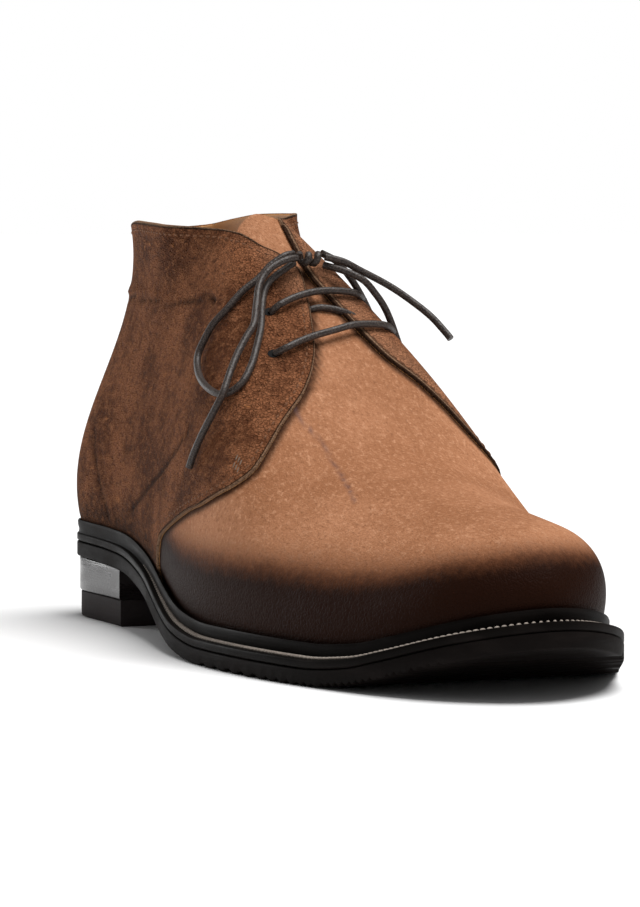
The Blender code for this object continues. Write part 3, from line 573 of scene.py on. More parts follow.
vampLook = {
    "tan": (0.500, 0.230, 0.120),
    "light": (0.700, 0.370, 0.215),
    "mid": (0.350, 0.148, 0.070),
    "burntAndShadow": (0.014, 0.005, 0.003),
    "brown": (0.105, 0.036, 0.016),
    "scar": (0.110, 0.070, 0.075),
    "lining": (0.560, 0.270, 0.105),
    "roughness": 0.56,
    "burntRoughness": 0.42,
    "layers": [
        ("mottle", 0.50, 0.72, 0.60, "light"), ("mottle", 0.49, 0.32, 0.70, "mid"),
        ("fleck", 0.45, 0.32, 0.32, "brown"), ("fleck", 0.56, 0.68, 0.35, "light"),
    ],
    "burnish": [(0.04, 0.50, 0.88, "brown"), (0.28, 0.68, 0.97, "burntAndShadow")],
    "shading": 0.92,
    "scarring": 0.75,
}


def vampLeather():
    look = vampLook
    finish = Finish("vampLeather", Specular_IOR_Level=0.08, IOR=1.2)
    cloud = finish.noise(26, 4, rough=0.6)
    mottle = finish.noise(430, 5, (1, 1.5, 1), rough=0.72)
    fleck = finish.noise(1100, 3, rough=0.6)
    color = finish.mix(finish.band(cloud, 0.30, 0.70), look["mid"], look["tan"])
    color = finish.layers(color, {"mottle": mottle, "fleck": fleck}, look)
    depth = finish.mark("burnish") + (cloud - 0.5) * 0.30 + (mottle - 0.5) * 0.30
    for low, high, strength, tone in look["burnish"]:
        color = finish.mix(finish.band(depth, low, high) * strength, color, look[tone])
    # painted shadow: the vamp goes to the dark burnt tone next to the quarters' front edges, where those
    # edges shade it
    color = finish.mix(finish.mark("shade") * look["shading"], color, look["burntAndShadow"])
    color = finish.mix(finish.mark("scar") * look["scarring"], color, look["scar"])
    color = finish.mix(finish.mark("inside"), color, look["lining"])
    finish.wear("Base Color", color)
    finish.wear("Roughness", finish.band(depth, 0.2, 0.9, look["roughness"], look["burntRoughness"]))
    grain = finish.cells(820, (0.8, 1.3, 1), "DISTANCE_TO_EDGE")
    fine = finish.bump(finish.band(grain, 0.0, 0.20), 0.35, 0.0003)
    finish.wear("Normal", finish.bump(mottle, 0.45, 0.0007, fine))
    return finish.material


def plainLeather(name, color, shade, roughness):
    finish = Finish(name, Specular_IOR_Level=0.35)
    cloud = finish.noise(60, 4, rough=0.6)
    finish.wear("Base Color", finish.mix(finish.band(cloud, 0.35, 0.65), shade, color))
    finish.wear("Roughness", finish.band(cloud, 0.3, 0.7, roughness - 0.05, roughness + 0.08))
    finish.wear("Normal", finish.bump(finish.cells(900), 0.25, 0.0002))
    return finish.material


def edgeDressing(name, color, light, roughness, ridges, shine=0.05):
    # dressed edges: fine lines run along the layers, with a waxy unevenness
    finish = Finish(name, Specular_IOR_Level=shine, IOR=1.3)
    cloud = finish.noise(45, 4, (1, 1, 3), rough=0.6)
    layer = finish.noise(260, 2, (0.12, 0.12, 6))
    finish.wear("Base Color", finish.mix(finish.band(cloud, 0.42, 0.70) * 0.6, color, light))
    finish.wear("Roughness", finish.band(cloud, 0.3, 0.7, roughness - 0.07, roughness + 0.10))
    rough = finish.bump(finish.noise(900, 3), 0.18, 0.0003)
    finish.wear("Normal", finish.bump(layer, ridges, 0.0004, rough))
    return finish.material


laceLook = {"dark": (0.018, 0.012, 0.010), "light": (0.085, 0.062, 0.050), "roughness": (0.36, 0.55)}


def waxedLace():
    finish = Finish("waxedLace", Specular_IOR_Level=0.40)
    fibre = finish.noise(2600, 2)
    finish.wear("Base Color", finish.mix(finish.band(fibre, 0.4, 0.7), laceLook["dark"], laceLook["light"]))
    finish.wear("Roughness", finish.band(fibre, 0.3, 0.7, *laceLook["roughness"]))
    finish.wear("Normal", finish.bump(finish.cells(1700), 0.35, 0.0003))
    return finish.material


def plainThread(name, color, roughness=0.6):
    finish = Finish(name, Roughness=roughness, Specular_IOR_Level=0.08)
    twist = finish.noise(3000, 2)
    shade = tuple(0.6 * part for part in color)
    finish.wear("Base Color", finish.mix(finish.band(twist, 0.35, 0.65), shade, color))
    return finish.material


looks = {
    "quarter": quarterLeather(),
    "vamp": vampLeather(),
    "lining": plainLeather("liningLeather", (0.640, 0.320, 0.125), (0.500, 0.230, 0.080), 0.60),
    "insole": plainLeather("insoleLeather", (0.300, 0.160, 0.080), (0.200, 0.100, 0.050), 0.60),
    "welt": edgeDressing("weltDressing", (0.005, 0.004, 0.0035), (0.014, 0.011, 0.010), 0.38, 0.10),
    "sole": edgeDressing("soleRubber", (0.007, 0.0055, 0.005), (0.014, 0.011, 0.010), 0.50, 0.22),
    "stack": edgeDressing("stackDressing", (0.010, 0.007, 0.007), (0.030, 0.024, 0.023), 0.24, 0.22, 0.9),
    "lift": edgeDressing("liftRubber", (0.026, 0.021, 0.021), (0.048, 0.040, 0.039), 0.52, 0.20),
    "lace": waxedLace(),
    "tackThread": plainThread("tackThread", (0.260, 0.190, 0.140)),
    "paleThread": plainThread("paleThread", (0.420, 0.360, 0.310)),
    "brownThread": plainThread("brownThread", (0.230, 0.105, 0.055)),
    "holeShadow": plainThread("holeShade", (0.006, 0.005, 0.005)),
}
print("stage: finishes ready")

# Vamp and tongue: one sheet over the front of the last, in sections from one side of the welt to the other.
vamp = {
    "sections": 150,
    "levels": 74,
    "fine": (0.0012, 0.003, 0.006),
    "thickness": 0.0009,
    "edgeDip": 0.0004,
    "edgeDipWidth": 0.0005,
    "burnishStations": [3.5, 6.0, 8.0, 9.5, 11.0],
    "burnishReach": [0.031, 0.034, 0.034, 0.031, 0.030],
    "burnishSpan": (0.16, 1.08),
    "shadeSpan": (0.0006, 0.0030),
    "scarDepth": 0.00018,
    "start": [
        (0.00, 3.50, 3.50), (0.14, 3.70, 3.70), (0.23, 4.20, 4.20), (0.32, 4.85, 4.85), (0.44, 5.20, 5.20),
        (0.60, 5.35, 5.35), (0.75, 5.10, 5.20), (0.86, 4.90, 5.14), (0.93, 5.04, 5.15), (1.00, 5.20, 5.20),
    ],
    "creases": [
        ([(7.05, 0.60), (7.25, 0.74), (7.35, 0.88), (7.38, 1.00)], 0.0026, 0.00030),
        ([(7.62, 0.66), (7.72, 0.80), (7.75, 0.94)], 0.0020, 0.00024),
        ([(6.60, 0.58), (6.75, 0.70), (6.95, 0.84)], 0.0024, 0.00020),
        ([(-7.20, 0.58), (-7.36, 0.74), (-7.38, 0.90), (-7.38, 1.00)], 0.0026, 0.00030),
        ([(-7.70, 0.64), (-7.76, 0.80), (-7.76, 0.96)], 0.0018, 0.00022),
        ([(-6.75, 0.62), (-6.90, 0.76), (-6.98, 0.92)], 0.0024, 0.00020),
        ([(7.20, 0.66), (7.42, 0.80), (7.50, 0.92)], 0.0016, -0.00014),
        ([(-7.30, 0.66), (-7.50, 0.80), (-7.55, 0.92)], 0.0016, -0.00014),
    ],
    "scars": [
        ([(6.38, 0.768), (6.54, 0.772), (6.68, 0.790), (6.82, 0.788), (7.00, 0.772), (7.22, 0.736),
          (7.40, 0.690)], 0.0005, 0.00018),
    ],
}

# Quarters: one sheet from the lateral front edge round the heel to the medial front edge.
quarters = {
    "across": 250,
    "down": 96,
    "acrossFine": (0.0005, 0.0012, 0.0022, 0.0036),
    "downFine": (0.0012, 0.0030, 0.0055),
    "bottomSteps": 16,
    "footThickness": 0.00025,
    "footSpan": 0.006,
    "roll": 0.0006,
    "rolledShare": 0.65,
    "standoff": 0.00004,
    "bandShare": 2.1,
    "facingColumns": 24,
    "pressedDepth": 0.0004,
    "collar": [
        (5.64, 1.000), (5.52, 0.960), (5.40, 0.910), (5.30, 0.886), (5.20, 0.868), (5.10, 0.856),
        (5.00, 0.849), (4.75, 0.848), (4.50, 0.853), (4.25, 0.860), (4.00, 0.870), (3.50, 0.891),
        (3.00, 0.905), (2.50, 0.913), (2.00, 0.918), (1.50, 0.915), (1.00, 0.911), (0.50, 0.904),
        (0.00, 0.899), (-0.50, 0.907),
        (-1.00, 0.917), (-1.50, 0.927), (-2.00, 0.934), (-2.50, 0.935), (-3.00, 0.933), (-3.50, 0.927),
        (-4.00, 0.911), (-4.25, 0.902), (-4.50, 0.894), (-4.75, 0.892), (-4.96, 0.902), (-5.10, 0.923),
        (-5.20, 0.947), (-5.30, 0.964), (-5.41, 0.976), (-5.53, 0.984), (-5.65, 0.987),
    ],
    "lateralFront": [
        (5.64, 1.000), (5.76, 0.983), (5.87, 0.968), (5.99, 0.950), (6.12, 0.930), (6.23, 0.904),
        (6.33, 0.860), (6.40, 0.797), (6.42, 0.702), (6.41, 0.600), (6.34, 0.510), (6.18, 0.439),
        (5.98, 0.386), (5.63, 0.322), (5.20, 0.272), (4.77, 0.230), (4.40, 0.185), (4.17, 0.143),
        (4.00, 0.060), (3.96, 0.000),
    ],
    "medialFront": [
        (-5.65, 0.987), (-5.76, 0.971), (-5.87, 0.950), (-5.99, 0.927), (-6.10, 0.898), (-6.20, 0.850),
        (-6.25, 0.765), (-6.30, 0.690), (-6.36, 0.610), (-6.33, 0.520), (-6.18, 0.438), (-5.98, 0.386),
        (-5.62, 0.322), (-5.20, 0.272), (-4.77, 0.230), (-4.40, 0.185), (-4.18, 0.142), (-4.02, 0.059),
        (-3.98, 0.000),
    ],
    "swells": [
        ([(0.0, 0.722), (1.48, 0.726), (2.88, 0.710), (3.78, 0.702), (4.6, 0.692), (5.06, 0.686)],
         0.0022, 0.00075),
        ([(0.0, 0.722), (-1.48, 0.726), (-2.88, 0.714), (-3.78, 0.708), (-4.6, 0.698)], 0.0022, 0.00070),
        ([(1.95, 0.36), (2.40, 0.26), (2.62, 0.14)], 0.0030, 0.00030),
        ([(5.9, 0.62), (5.6, 0.55), (5.2, 0.50)], 0.0040, 0.00035),
        ([(3.6, 0.50), (3.3, 0.42), (3.2, 0.33)], 0.0050, 0.00035),
    ],
    "furrows": [
        ([(0.0, 0.708), (1.48, 0.712), (2.88, 0.696), (3.78, 0.684), (4.6, 0.674), (5.06, 0.668)],
         0.0011, 0.00085),
        ([(0.0, 0.708), (-1.48, 0.712), (-2.88, 0.700), (-3.78, 0.690), (-4.6, 0.680)], 0.0011, 0.00080),
        ([(5.1, 0.42), (4.8, 0.384), (3.92, 0.264), (3.14, 0.112)], 0.0011, 0.00055),
        ([(1.95, 0.31), (2.20, 0.22), (2.45, 0.12), (2.55, 0.07)], 0.0010, 0.00040),
        ([(2.15, 0.32), (2.42, 0.22), (2.68, 0.12), (2.76, 0.07)], 0.0009, 0.00030),
    ],
}


def furrowDepth(places, routes, samples=60):
    # how deep the leather lies in the furrows: each is a route, a width and a depth
    sink = np.zeros(places.shape[:-1])
    for route, width, depth in routes:
        gap = nearestGap(places, placesOn(tracedLine(route, samples)))
        sink += depth * np.exp(-(gap / width) ** 2)
    return sink


def heightOverWelt(places):
    return places[..., 2] - weltTop(places[..., 0])


def buildVamp():
    side = np.linspace(0, 1, vamp["levels"])
    s = np.concatenate([side, side[::-1][1:]])
    sign = np.concatenate([np.ones(len(side)), -np.ones(len(side) - 1)])
    rows = np.array(vamp["start"])
    lateral = monotone(rows[:, 0], rows[:, 1], s)
    medial = monotone(rows[:, 0], rows[:, 2], s)
    start = np.where(sign > 0, lateral, medial)
    t = edgeSpacing(vamp["sections"], vamp["fine"])
    u = (start[None] * (1 - t[:, None]) + toeRow * t[:, None]) * sign[None]
    level = np.broadcast_to(s, u.shape)
    place = lastPoint(u, level)
    normal = lastNormal(u, level)
    # both sides meet on the ridge: it takes the mean of the normals beside it, and one normal past the pole
    ridge = len(side) - 1
    normal[:, ridge] = unit(normal[:, ridge - 1] + normal[:, ridge + 1])
    pole = np.abs(u[:, ridge]) >= poleRow
    normal[pole, ridge] = unit(normal[pole, ridge].mean(0))
    scars = furrowDepth(place, vamp["scars"])
    sink = scars + furrowDepth(place, vamp["creases"])
    dip = vamp["edgeDip"] * (1 - blend(nearestGap(place, place[0]), 0, vamp["edgeDipWidth"]))
    outer = place - normal * (dip + sink)[..., None]
    inner = place - normal * vamp["thickness"]
    reach = np.interp(np.abs(u), vamp["burnishStations"], vamp["burnishReach"])
    near, far = vamp["burnishSpan"]
    fronts = [placesOn(tracedLine(quarters[name], seamSamples)) for name in ("lateralFront", "medialFront")]
    marks = {
        "scar": np.clip(scars / vamp["scarDepth"], 0, 1),
        # shade marks the painted shadow that the quarters' front edges cast on the vamp
        "shade": 1 - blend(nearestGap(place, np.concatenate(fronts)), *vamp["shadeSpan"]),
        "burnish": 1 - blend(heightOverWelt(place), reach * near, reach * far),
    }
    return shellPiece("vamp", outer, inner, looks["vamp"], marks, openEnd=True)


def quarterGrid():
    # stations and shares inside the four border lines, filled in between them as a Coons patch
    a = edgeSpacing(quarters["across"], quarters["acrossFine"])
    b = edgeSpacing(quarters["down"], quarters["downFine"])
    top = tracedLine(quarters["collar"], a)
    first, last = quarters["lateralFront"][-1][0], quarters["medialFront"][-1][0]
    steps = quarters["bottomSteps"]
    bottom = tracedLine([(first * (1 - k / steps) + last * k / steps, 0.0) for k in range(steps + 1)], a)
    left = tracedLine(quarters["lateralFront"], b)
    right = tracedLine(quarters["medialFront"], b)
    a, b = a[None, :, None], b[:, None, None]
    grid = (1 - a) * left[:, None] + a * right[:, None] + (1 - b) * top[None] + b * bottom[None]
    grid -= (1 - a) * (1 - b) * top[0] + a * (1 - b) * top[-1] + (1 - a) * b * bottom[0] + a * b * bottom[-1]
    return grid[..., 0], np.clip(grid[..., 1], 0, 1)


def buildQuarters():
    u, s = quarterGrid()
    place = lastPoint(u, s)
    normal = lastNormal(u, s)
    rim = nearestGap(place, np.concatenate([place[0], place[:, 0], place[:, -1]]))
    # the medial front edge and the end of the collar above it carry a dark band with a thin light line,
    # and the other edges show the raw cut
    facing = np.concatenate([place[:, -1], place[0, -quarters["facingColumns"]:]])
    faceGap = nearestGap(place, facing)
    lift = heightOverWelt(place)
    sink = furrowDepth(place, quarters["furrows"]) - furrowDepth(place, quarters["swells"])
    thin, share = quarters["footThickness"], quarters["rolledShare"]
    thickness = thin + (quarterThickness - thin) * blend(lift, 0, quarters["footSpan"])
    raised = thickness * (1 - share + share * roundedEdge(rim, quarters["roll"])) - sink
    outer = place + normal * raised[..., None]
    inner = place + normal * quarters["standoff"]
    marks = {
        "cut": np.where(faceGap > rim + 1e-5, rim, 1.0),
        "band": np.minimum(faceGap, rim * quarters["bandShare"]),
        "face": faceGap,
        "lift": lift,
        "pressed": np.clip(sink / quarters["pressedDepth"], 0, 1),
    }
    return shellPiece("quarters", outer, inner, looks["quarter"], marks)


lining = {
    "reach": 4.7,
    "across": 180,
    "down": 60,
    "fine": (0.004, 0.010, 0.02),
    "samples": 500,
    "below": 0.004,
    "standoff": 0.00004,
    "edgeThickness": 0.0003,
    "padding": 0.0015,
    "roll": 0.0008,
}


def buildLining():
    u = np.linspace(lining["reach"], -lining["reach"], lining["across"])
    b = edgeSpacing(lining["down"], lining["fine"])
    line = tracedLine(quarters["collar"], lining["samples"])
    order = np.argsort(line[:, 0])
    top = np.interp(u, line[order, 0], line[order, 1]) - lining["below"]
    s = top[None] * (1 - b[:, None])
    u = np.broadcast_to(u, s.shape)
    place = lastPoint(u, s)
    normal = lastNormal(u, s)
    roll = roundedEdge(nearestGap(place, place[0]), lining["roll"])
    outer = place - normal * lining["standoff"]
    inner = place - normal * (lining["edgeThickness"] + lining["padding"] * roll)[..., None]
    return shellPiece("lining", outer, inner, looks["lining"])


vampPiece = buildVamp()
quarterPiece = buildQuarters()
liningPiece = buildLining()
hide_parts("upper", "tongue")
slots = ((vampPiece, "brown_leather"), (quarterPiece, "brown_leather"), (liningPiece, "tan_leather"))
for piece, slot in slots:
    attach(piece, "root")
print("stage: upper dressed")

# Sole: closed rings stacked on the outline, each with an inset and a height.
soleWork = {
    "stations": 220,
    "across": 18,
    "bevel": 0.0005,
    "bevelShare": 0.3,
    "ribPitch": 0.0027,
    "ribDepth": 0.0011,
    "ribZone": (0.178, 0.292),
    "ribFade": 0.003,
    "ribProfile": (0.10, 0.24, 0.50, 0.64),
    "reachSteps": 2201,
}


def bandFaces(low, high, count, closed=True):
    # the faces between two rows of points, which start at the indices low and high
    faces = []
    for i in range(count if closed else count - 1):
        j = (i + 1) % count
        faces.append([low + i, low + j, high + j, high + i])
    return faces


def ringPlate(name, rings, material, reach=toeRow):
    # a closed plate; one that ends short of the toe gets a straight front face
    half, across = soleWork["stations"], soleWork["across"]
    u = np.linspace(-reach, reach, 2 * half + 1)
    closed = reach == toeRow
    if closed:
        u = u[:-1]
    layers = []
    for inset, height in rings:
        flat = insetPoint(u, inset(u))
        layers.append(np.column_stack([flat, height(flat[:, 0])]))
    count = len(u)
    vertices = [tuple(point) for layer in layers for point in layer]
    faces = []
    for layer in range(len(layers) - 1):
        faces += bandFaces(layer * count, (layer + 1) * count, count, closed)
    # both caps are filled by columns of points between the two sides, at the height that each place has
    fronts = {}
    for layer, ring in ((0, layers[0]), (len(layers) - 1, layers[-1])):
        columns = []
        for k in range(half + 1):
            low, high = (half - k) % count, (half + k) % count
            ends = [layer * count + low] + [None] * (across - 1) + [layer * count + high]
            for m in range(1, across):
                t = m / across
                point = ring[low] * (1 - t) + ring[high] * t
                point[2] = rings[layer][1](point[:1])[0]
                ends[m] = len(vertices)
                vertices.append(tuple(point))
            columns.append(ends)
        for k in range(half):
            for m in range(across):
                faces.append([columns[k][m], columns[k][m + 1], columns[k + 1][m + 1], columns[k + 1][m]])
        fronts[layer] = columns[-1]
    if not closed:
        # the top and bottom strips of the front face share the caps' own points
        edges = [fronts.get(layer, [layer * count, (layer + 1) * count - 1]) for layer in range(len(layers))]
        for low, high in zip(edges[:-1], edges[1:]):
            faces.append(low + high[::-1])
    mesh = bpy.data.meshes.new(name)
    mesh.from_pydata([tuple(np.array(v) + homeShift) for v in vertices], [], faces)
    return finishMesh(name, mesh, material, weld=1e-6, angle=50)


def always(value):
    return lambda u: np.full(np.shape(u), float(value))


def treadHeight(x):
    # the underside, cut by fine transverse ribs across the forefoot
    low, high = soleWork["ribZone"]
    fade = soleWork["ribFade"]
    zone = blend(x, low, low + fade) * (1 - blend(x, high - fade, high))
    turn = np.mod(x, soleWork["ribPitch"]) / soleWork["ribPitch"]
    rise, crest, fall, end = soleWork["ribProfile"]
    groove = blend(turn, rise, crest) * (1 - blend(turn, fall, end))
    return floorHeight(x) + soleWork["ribDepth"] * zone * groove


def bevelledPlate(name, low, high, inset, material, reach=toeRow):
    # a plate between two heights, with its edges broken
    bevel = soleWork["bevel"]
    corner = bevel * soleWork["bevelShare"]
    rings = [
        (always(inset + bevel), low),
        (always(inset + corner), lambda x: low(x) + corner),
        (always(inset), lambda x: low(x) + bevel),
        (always(inset), lambda x: high(x) - bevel),
        (always(inset + corner), lambda x: high(x) - corner),
        (always(inset + bevel), high),
    ]
    return ringPlate(name, rings, material, reach)


# the heel's pieces end at the station where the outline has gone the heel's length
outlineSteps = np.linspace(0, toeRow, soleWork["reachSteps"])
heelReach = float(outlineSteps[np.searchsorted(soleOutline(outlineSteps)[:, 0], heelLength)])
outsolePiece = bevelledPlate("outsole", treadHeight, lambda x: floorHeight(x) + outsoleThickness, 0.0,
                             looks["sole"])
stackPiece = bevelledPlate("heelStack", always(liftThickness + layerGap), lambda x: floorHeight(x) - layerGap,
                           heelStep + heelTaper / 2, looks["stack"], heelReach)
liftPiece = bevelledPlate("topLift", always(0.0), always(liftThickness), heelStep + heelTaper, looks["lift"],
                          heelReach)
soleNodes = (
    (outsolePiece, "outsole", "sole_rubber"),
    (stackPiece, "heel_stack", "edge_dressing"),
    (liftPiece, "top_lift", "sole_rubber"),
)
for piece, node, slot in soleNodes:
    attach(piece, "root")
    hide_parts(node)
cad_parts["insole"].data.materials.clear()
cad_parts["insole"].data.materials.append(looks["insole"])

weltWork = {
    "stations": 560,
    "bevel": 0.0005,
    "bevelShare": 0.3,
    # the lip's section: shares of its thickness, lean and height, and an inset of its own
    "lip": [
        (1.00, 0.00, 0.000, 0.0004), (1.00, 0.20, 0.250, 0.0), (1.00, 0.50, 0.650, 0.0),
        (0.86, 0.75, 0.880, 0.0), (0.60, 1.00, 1.000, 0.0), (0.35, 1.00, 0.985, 0.0),
        (0.00, 1.00, 0.880, fitGap + quarterThickness / 2), (0.00, 0.40, 0.350, 0.0),
        (0.00, 0.00, 0.000, 0.0),
    ],
    "stitches": {"Pitch": 0.0020, "Length": 0.0026, "Width": 0.00100, "Turn": 1.15},
    "stitchReach": 3.6,
    "stitchInset": 0.0026,
    "stitchStandoff": 0.00025,
    "stitchSteps": 500,
}


def buildWelt():
    # one closed section carried round the outline: margin, lip and the flange under the upper
    u = np.linspace(-toeRow, toeRow, weltWork["stations"] + 1)[:-1]
    margin = weltMargin(u)
    lean = lastColumn("bulge", ballWidth, u) / lastColumn("rise", collarHeight, u)
    inner = margin - fitGap
    bevel = weltWork["bevel"]
    corner = bevel * weltWork["bevelShare"]
    section = [(bevel + 0 * u, -weltThickness), (0 * u, -weltThickness + bevel), (0 * u, -bevel),
               (corner + 0 * u, -corner), (bevel + 0 * u, 0.0)]
    for thick, tilt, rise, inset in weltWork["lip"]:
        section.append((inner - lipThickness * thick - lean * lipHeight * tilt - inset, lipHeight * rise))
    section += [(margin + weltUnderlap, 0.0), (margin + weltUnderlap, -weltThickness)]
    count = len(u)
    vertices = []
    for inset, rise in section:
        flat = insetPoint(u, inset)
        vertices += [tuple(v) for v in np.column_stack([flat, weltTop(flat[:, 0]) + rise]) + homeShift]
    faces = []
    for layer in range(len(section)):
        faces += bandFaces(layer * count, (layer + 1) % len(section) * count, count)
    mesh = bpy.data.meshes.new("welt")
    mesh.from_pydata(vertices, [], faces)
    return finishMesh("welt", mesh, looks["welt"], weld=1e-7, angle=50)


weltPiece = buildWelt()
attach(weltPiece, "root")
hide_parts("welt")
print("stage: sole and welt dressed")


def stitchTree():
    # stitches along a path: one small rounded body at each step, laid along the path and flat on the leather
    tree = bpy.data.node_groups.new("stitchRow", "GeometryNodeTree")
    face = tree.interface
    face.new_socket("Geometry", in_out="INPUT", socket_type="NodeSocketGeometry")
    for name, value in (("Pitch", 0.003), ("Length", 0.002), ("Width", 0.0007), ("Turn", 0.0)):
        face.new_socket(name, in_out="INPUT", socket_type="NodeSocketFloat").default_value = value
    face.new_socket("Thread", in_out="INPUT", socket_type="NodeSocketMaterial")
    face.new_socket("Geometry", in_out="OUTPUT", socket_type="NodeSocketGeometry")

    def grow(kind, settings=None, links=None):
        made = tree.nodes.new(kind)
        for key, value in (settings or {}).items():
            setattr(made, key, value)
        for key, value in (links or {}).items():
            if hasattr(value, "node"):
                tree.links.new(value, made.inputs[key])
            else:
                made.inputs[key].default_value = value
        return made

    given = grow("NodeGroupInput").outputs
    path = grow("GeometryNodeMeshToCurve", None, {"Mesh": given["Geometry"]})
    steps = grow("GeometryNodeResampleCurve", {"mode": "LENGTH"}, {
        "Curve": path.outputs[0], "Length": given["Pitch"]})
    along = grow("GeometryNodeInputTangent")
    up = grow("GeometryNodeInputNamedAttribute", {"data_type": "FLOAT_VECTOR"}, {"Name": "faceUp"})
    flat = grow("FunctionNodeAlignRotationToVector", {"axis": "Z"}, {"Vector": up.outputs[0]})
    laid = grow("FunctionNodeAlignRotationToVector", {"axis": "X", "pivot_axis": "Z"}, {
        "Rotation": flat.outputs[0], "Vector": along.outputs[0]})
    spun = grow("FunctionNodeAxisAngleToRotation", None, {"Axis": (0, 0, 1), "Angle": given["Turn"]})
    turned = grow("FunctionNodeRotateRotation", {"rotation_space": "LOCAL"}, {
        "Rotation": laid.outputs[0], "Rotate By": spun.outputs[0]})
    body = grow("GeometryNodeMeshUVSphere", None, {"Segments": 8, "Rings": 5, "Radius": 0.5})
    size = grow("ShaderNodeCombineXYZ", None, {
        "X": given["Length"], "Y": given["Width"], "Z": given["Width"]})
    placed = grow("GeometryNodeInstanceOnPoints", None, {
        "Points": steps.outputs[0], "Instance": body.outputs[0], "Rotation": turned.outputs[0],
        "Scale": size.outputs[0]})
    solid = grow("GeometryNodeRealizeInstances", None, {"Geometry": placed.outputs[0]})
    dyed = grow("GeometryNodeSetMaterial", None, {"Geometry": solid.outputs[0], "Material": given["Thread"]})
    grow("NodeGroupOutput", None, {"Geometry": dyed.outputs[0]})
    return tree


stitchRow = stitchTree()


def stitchPiece(name, paths, sizes, material):
    # the paths are pairs of points and normals; the modifier's result is kept as a plain mesh
    vertices, edges, ups = [], [], []
    for points, normals in paths:
        base = len(vertices)
        vertices += [tuple(p) for p in np.asarray(points) + homeShift]
        ups += [tuple(n) for n in normals]
        edges += [(base + k, base + k + 1) for k in range(len(points) - 1)]
    guide = bpy.data.meshes.new(name + "Path")
    guide.from_pydata(vertices, edges, [])
    layer = guide.attributes.new("faceUp", "FLOAT_VECTOR", "POINT")
    layer.data.foreach_set("vector", np.array(ups, float).ravel())
    carrier = linked(name + "Path", guide)
    modifier = carrier.modifiers.new("stitches", "NODES")
    modifier.node_group = stitchRow
    given = {**sizes, "Thread": material}
    for socket in stitchRow.interface.items_tree:
        if socket.in_out == "INPUT" and socket.name in given:
            modifier[socket.identifier] = given[socket.name]
    bpy.context.view_layer.update()
    graph = bpy.context.evaluated_depsgraph_get()
    mesh = bpy.data.meshes.new_from_object(carrier.evaluated_get(graph))
    bpy.data.objects.remove(carrier, do_unlink=True)
    mesh.name = name
    mesh.shade_smooth()
    item = linked(name, mesh)
    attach(item, "root")
    return item


def leatherPath(rows, standoff, count):
    line = tracedLine(rows, count)
    return placesOn(line) + normalsOn(line) * standoff, normalsOn(line)


def inwardPath(rows, distance, standoff, start, stop, toward):
    # the line moved over the leather by a distance, to the side that faces the given place: the move is
    # turned into stations and shares through the two directions that they have there
    step = 1e-3
    line = tracedLine(rows, np.linspace(start, stop, seamSamples))
    points = placesOn(line)
    across = unit(np.cross(normalsOn(line), unit(np.gradient(points, axis=0))))
    middle = len(points) // 2
    if np.dot(across[middle], np.array(toward) - points[middle]) < 0:
        across = -across
    turned = (placesOn(line + (step, 0)) - points) / step
    climbed = (points - placesOn(line - (0, step))) / step
    directions = np.stack([turned, climbed], -1)
    line = line + np.einsum("kij,kj->ki", np.linalg.pinv(directions), across * distance)
    line[:, 1] = np.clip(line[:, 1], 0, 1)
    return placesOn(line) + normalsOn(line) * standoff, normalsOn(line)


seam = {
    "stitches": {"Pitch": 0.0030, "Length": 0.0021, "Width": 0.00075},
    "standoff": quarterThickness - 0.00010,
    "lateralFront": (0.0026, 0.02, 0.93, (0.06, 0.0, 0.07)),
    "medialFront": (0.0026, 0.00, 0.93, (0.06, 0.0, 0.07)),
    "collar": (0.0030, 0.02, 0.98, (0.06, 0.0, 0.0)),
    "tack": [[(6.13 + k * 0.03, 0.492), (6.115 + k * 0.03, 0.470)] for k in range(3)],
    "tackStitches": {"Pitch": 0.010, "Length": 0.0022, "Width": 0.00055},
    "tackSteps": 5,
}


def seamPath(name):
    distance, start, stop, toward = seam[name]
    return inwardPath(quarters[name], distance, seam["standoff"], start, stop, toward)


def weltPath():
    # along the welt's margin, from the lateral waist round the toe to the medial waist
    reach, steps = weltWork["stitchReach"], weltWork["stitchSteps"]
    u = np.concatenate([np.linspace(reach, toeRow, steps), np.linspace(-toeRow, -reach, steps)[1:]])
    flat = insetPoint(u, np.full(u.shape, weltWork["stitchInset"]))
    points = np.column_stack([flat, weltTop(flat[:, 0]) + weltWork["stitchStandoff"]])
    return points, np.tile((0.0, 0.0, 1.0), (len(u), 1))


seamPiece = stitchPiece("frontStitches", [seamPath("lateralFront"), seamPath("medialFront")],
                        seam["stitches"], looks["brownThread"])
collarPiece = stitchPiece("collarStitches", [seamPath("collar")], seam["stitches"], looks["brownThread"])
tackPaths = [leatherPath(rows, seam["standoff"], seam["tackSteps"]) for rows in seam["tack"]]
tackPiece = stitchPiece("barTack", tackPaths, seam["tackStitches"], looks["tackThread"])
weltStitches = stitchPiece("weltStitches", [weltPath()], weltWork["stitches"], looks["paleThread"])
print("stage: stitches laid")

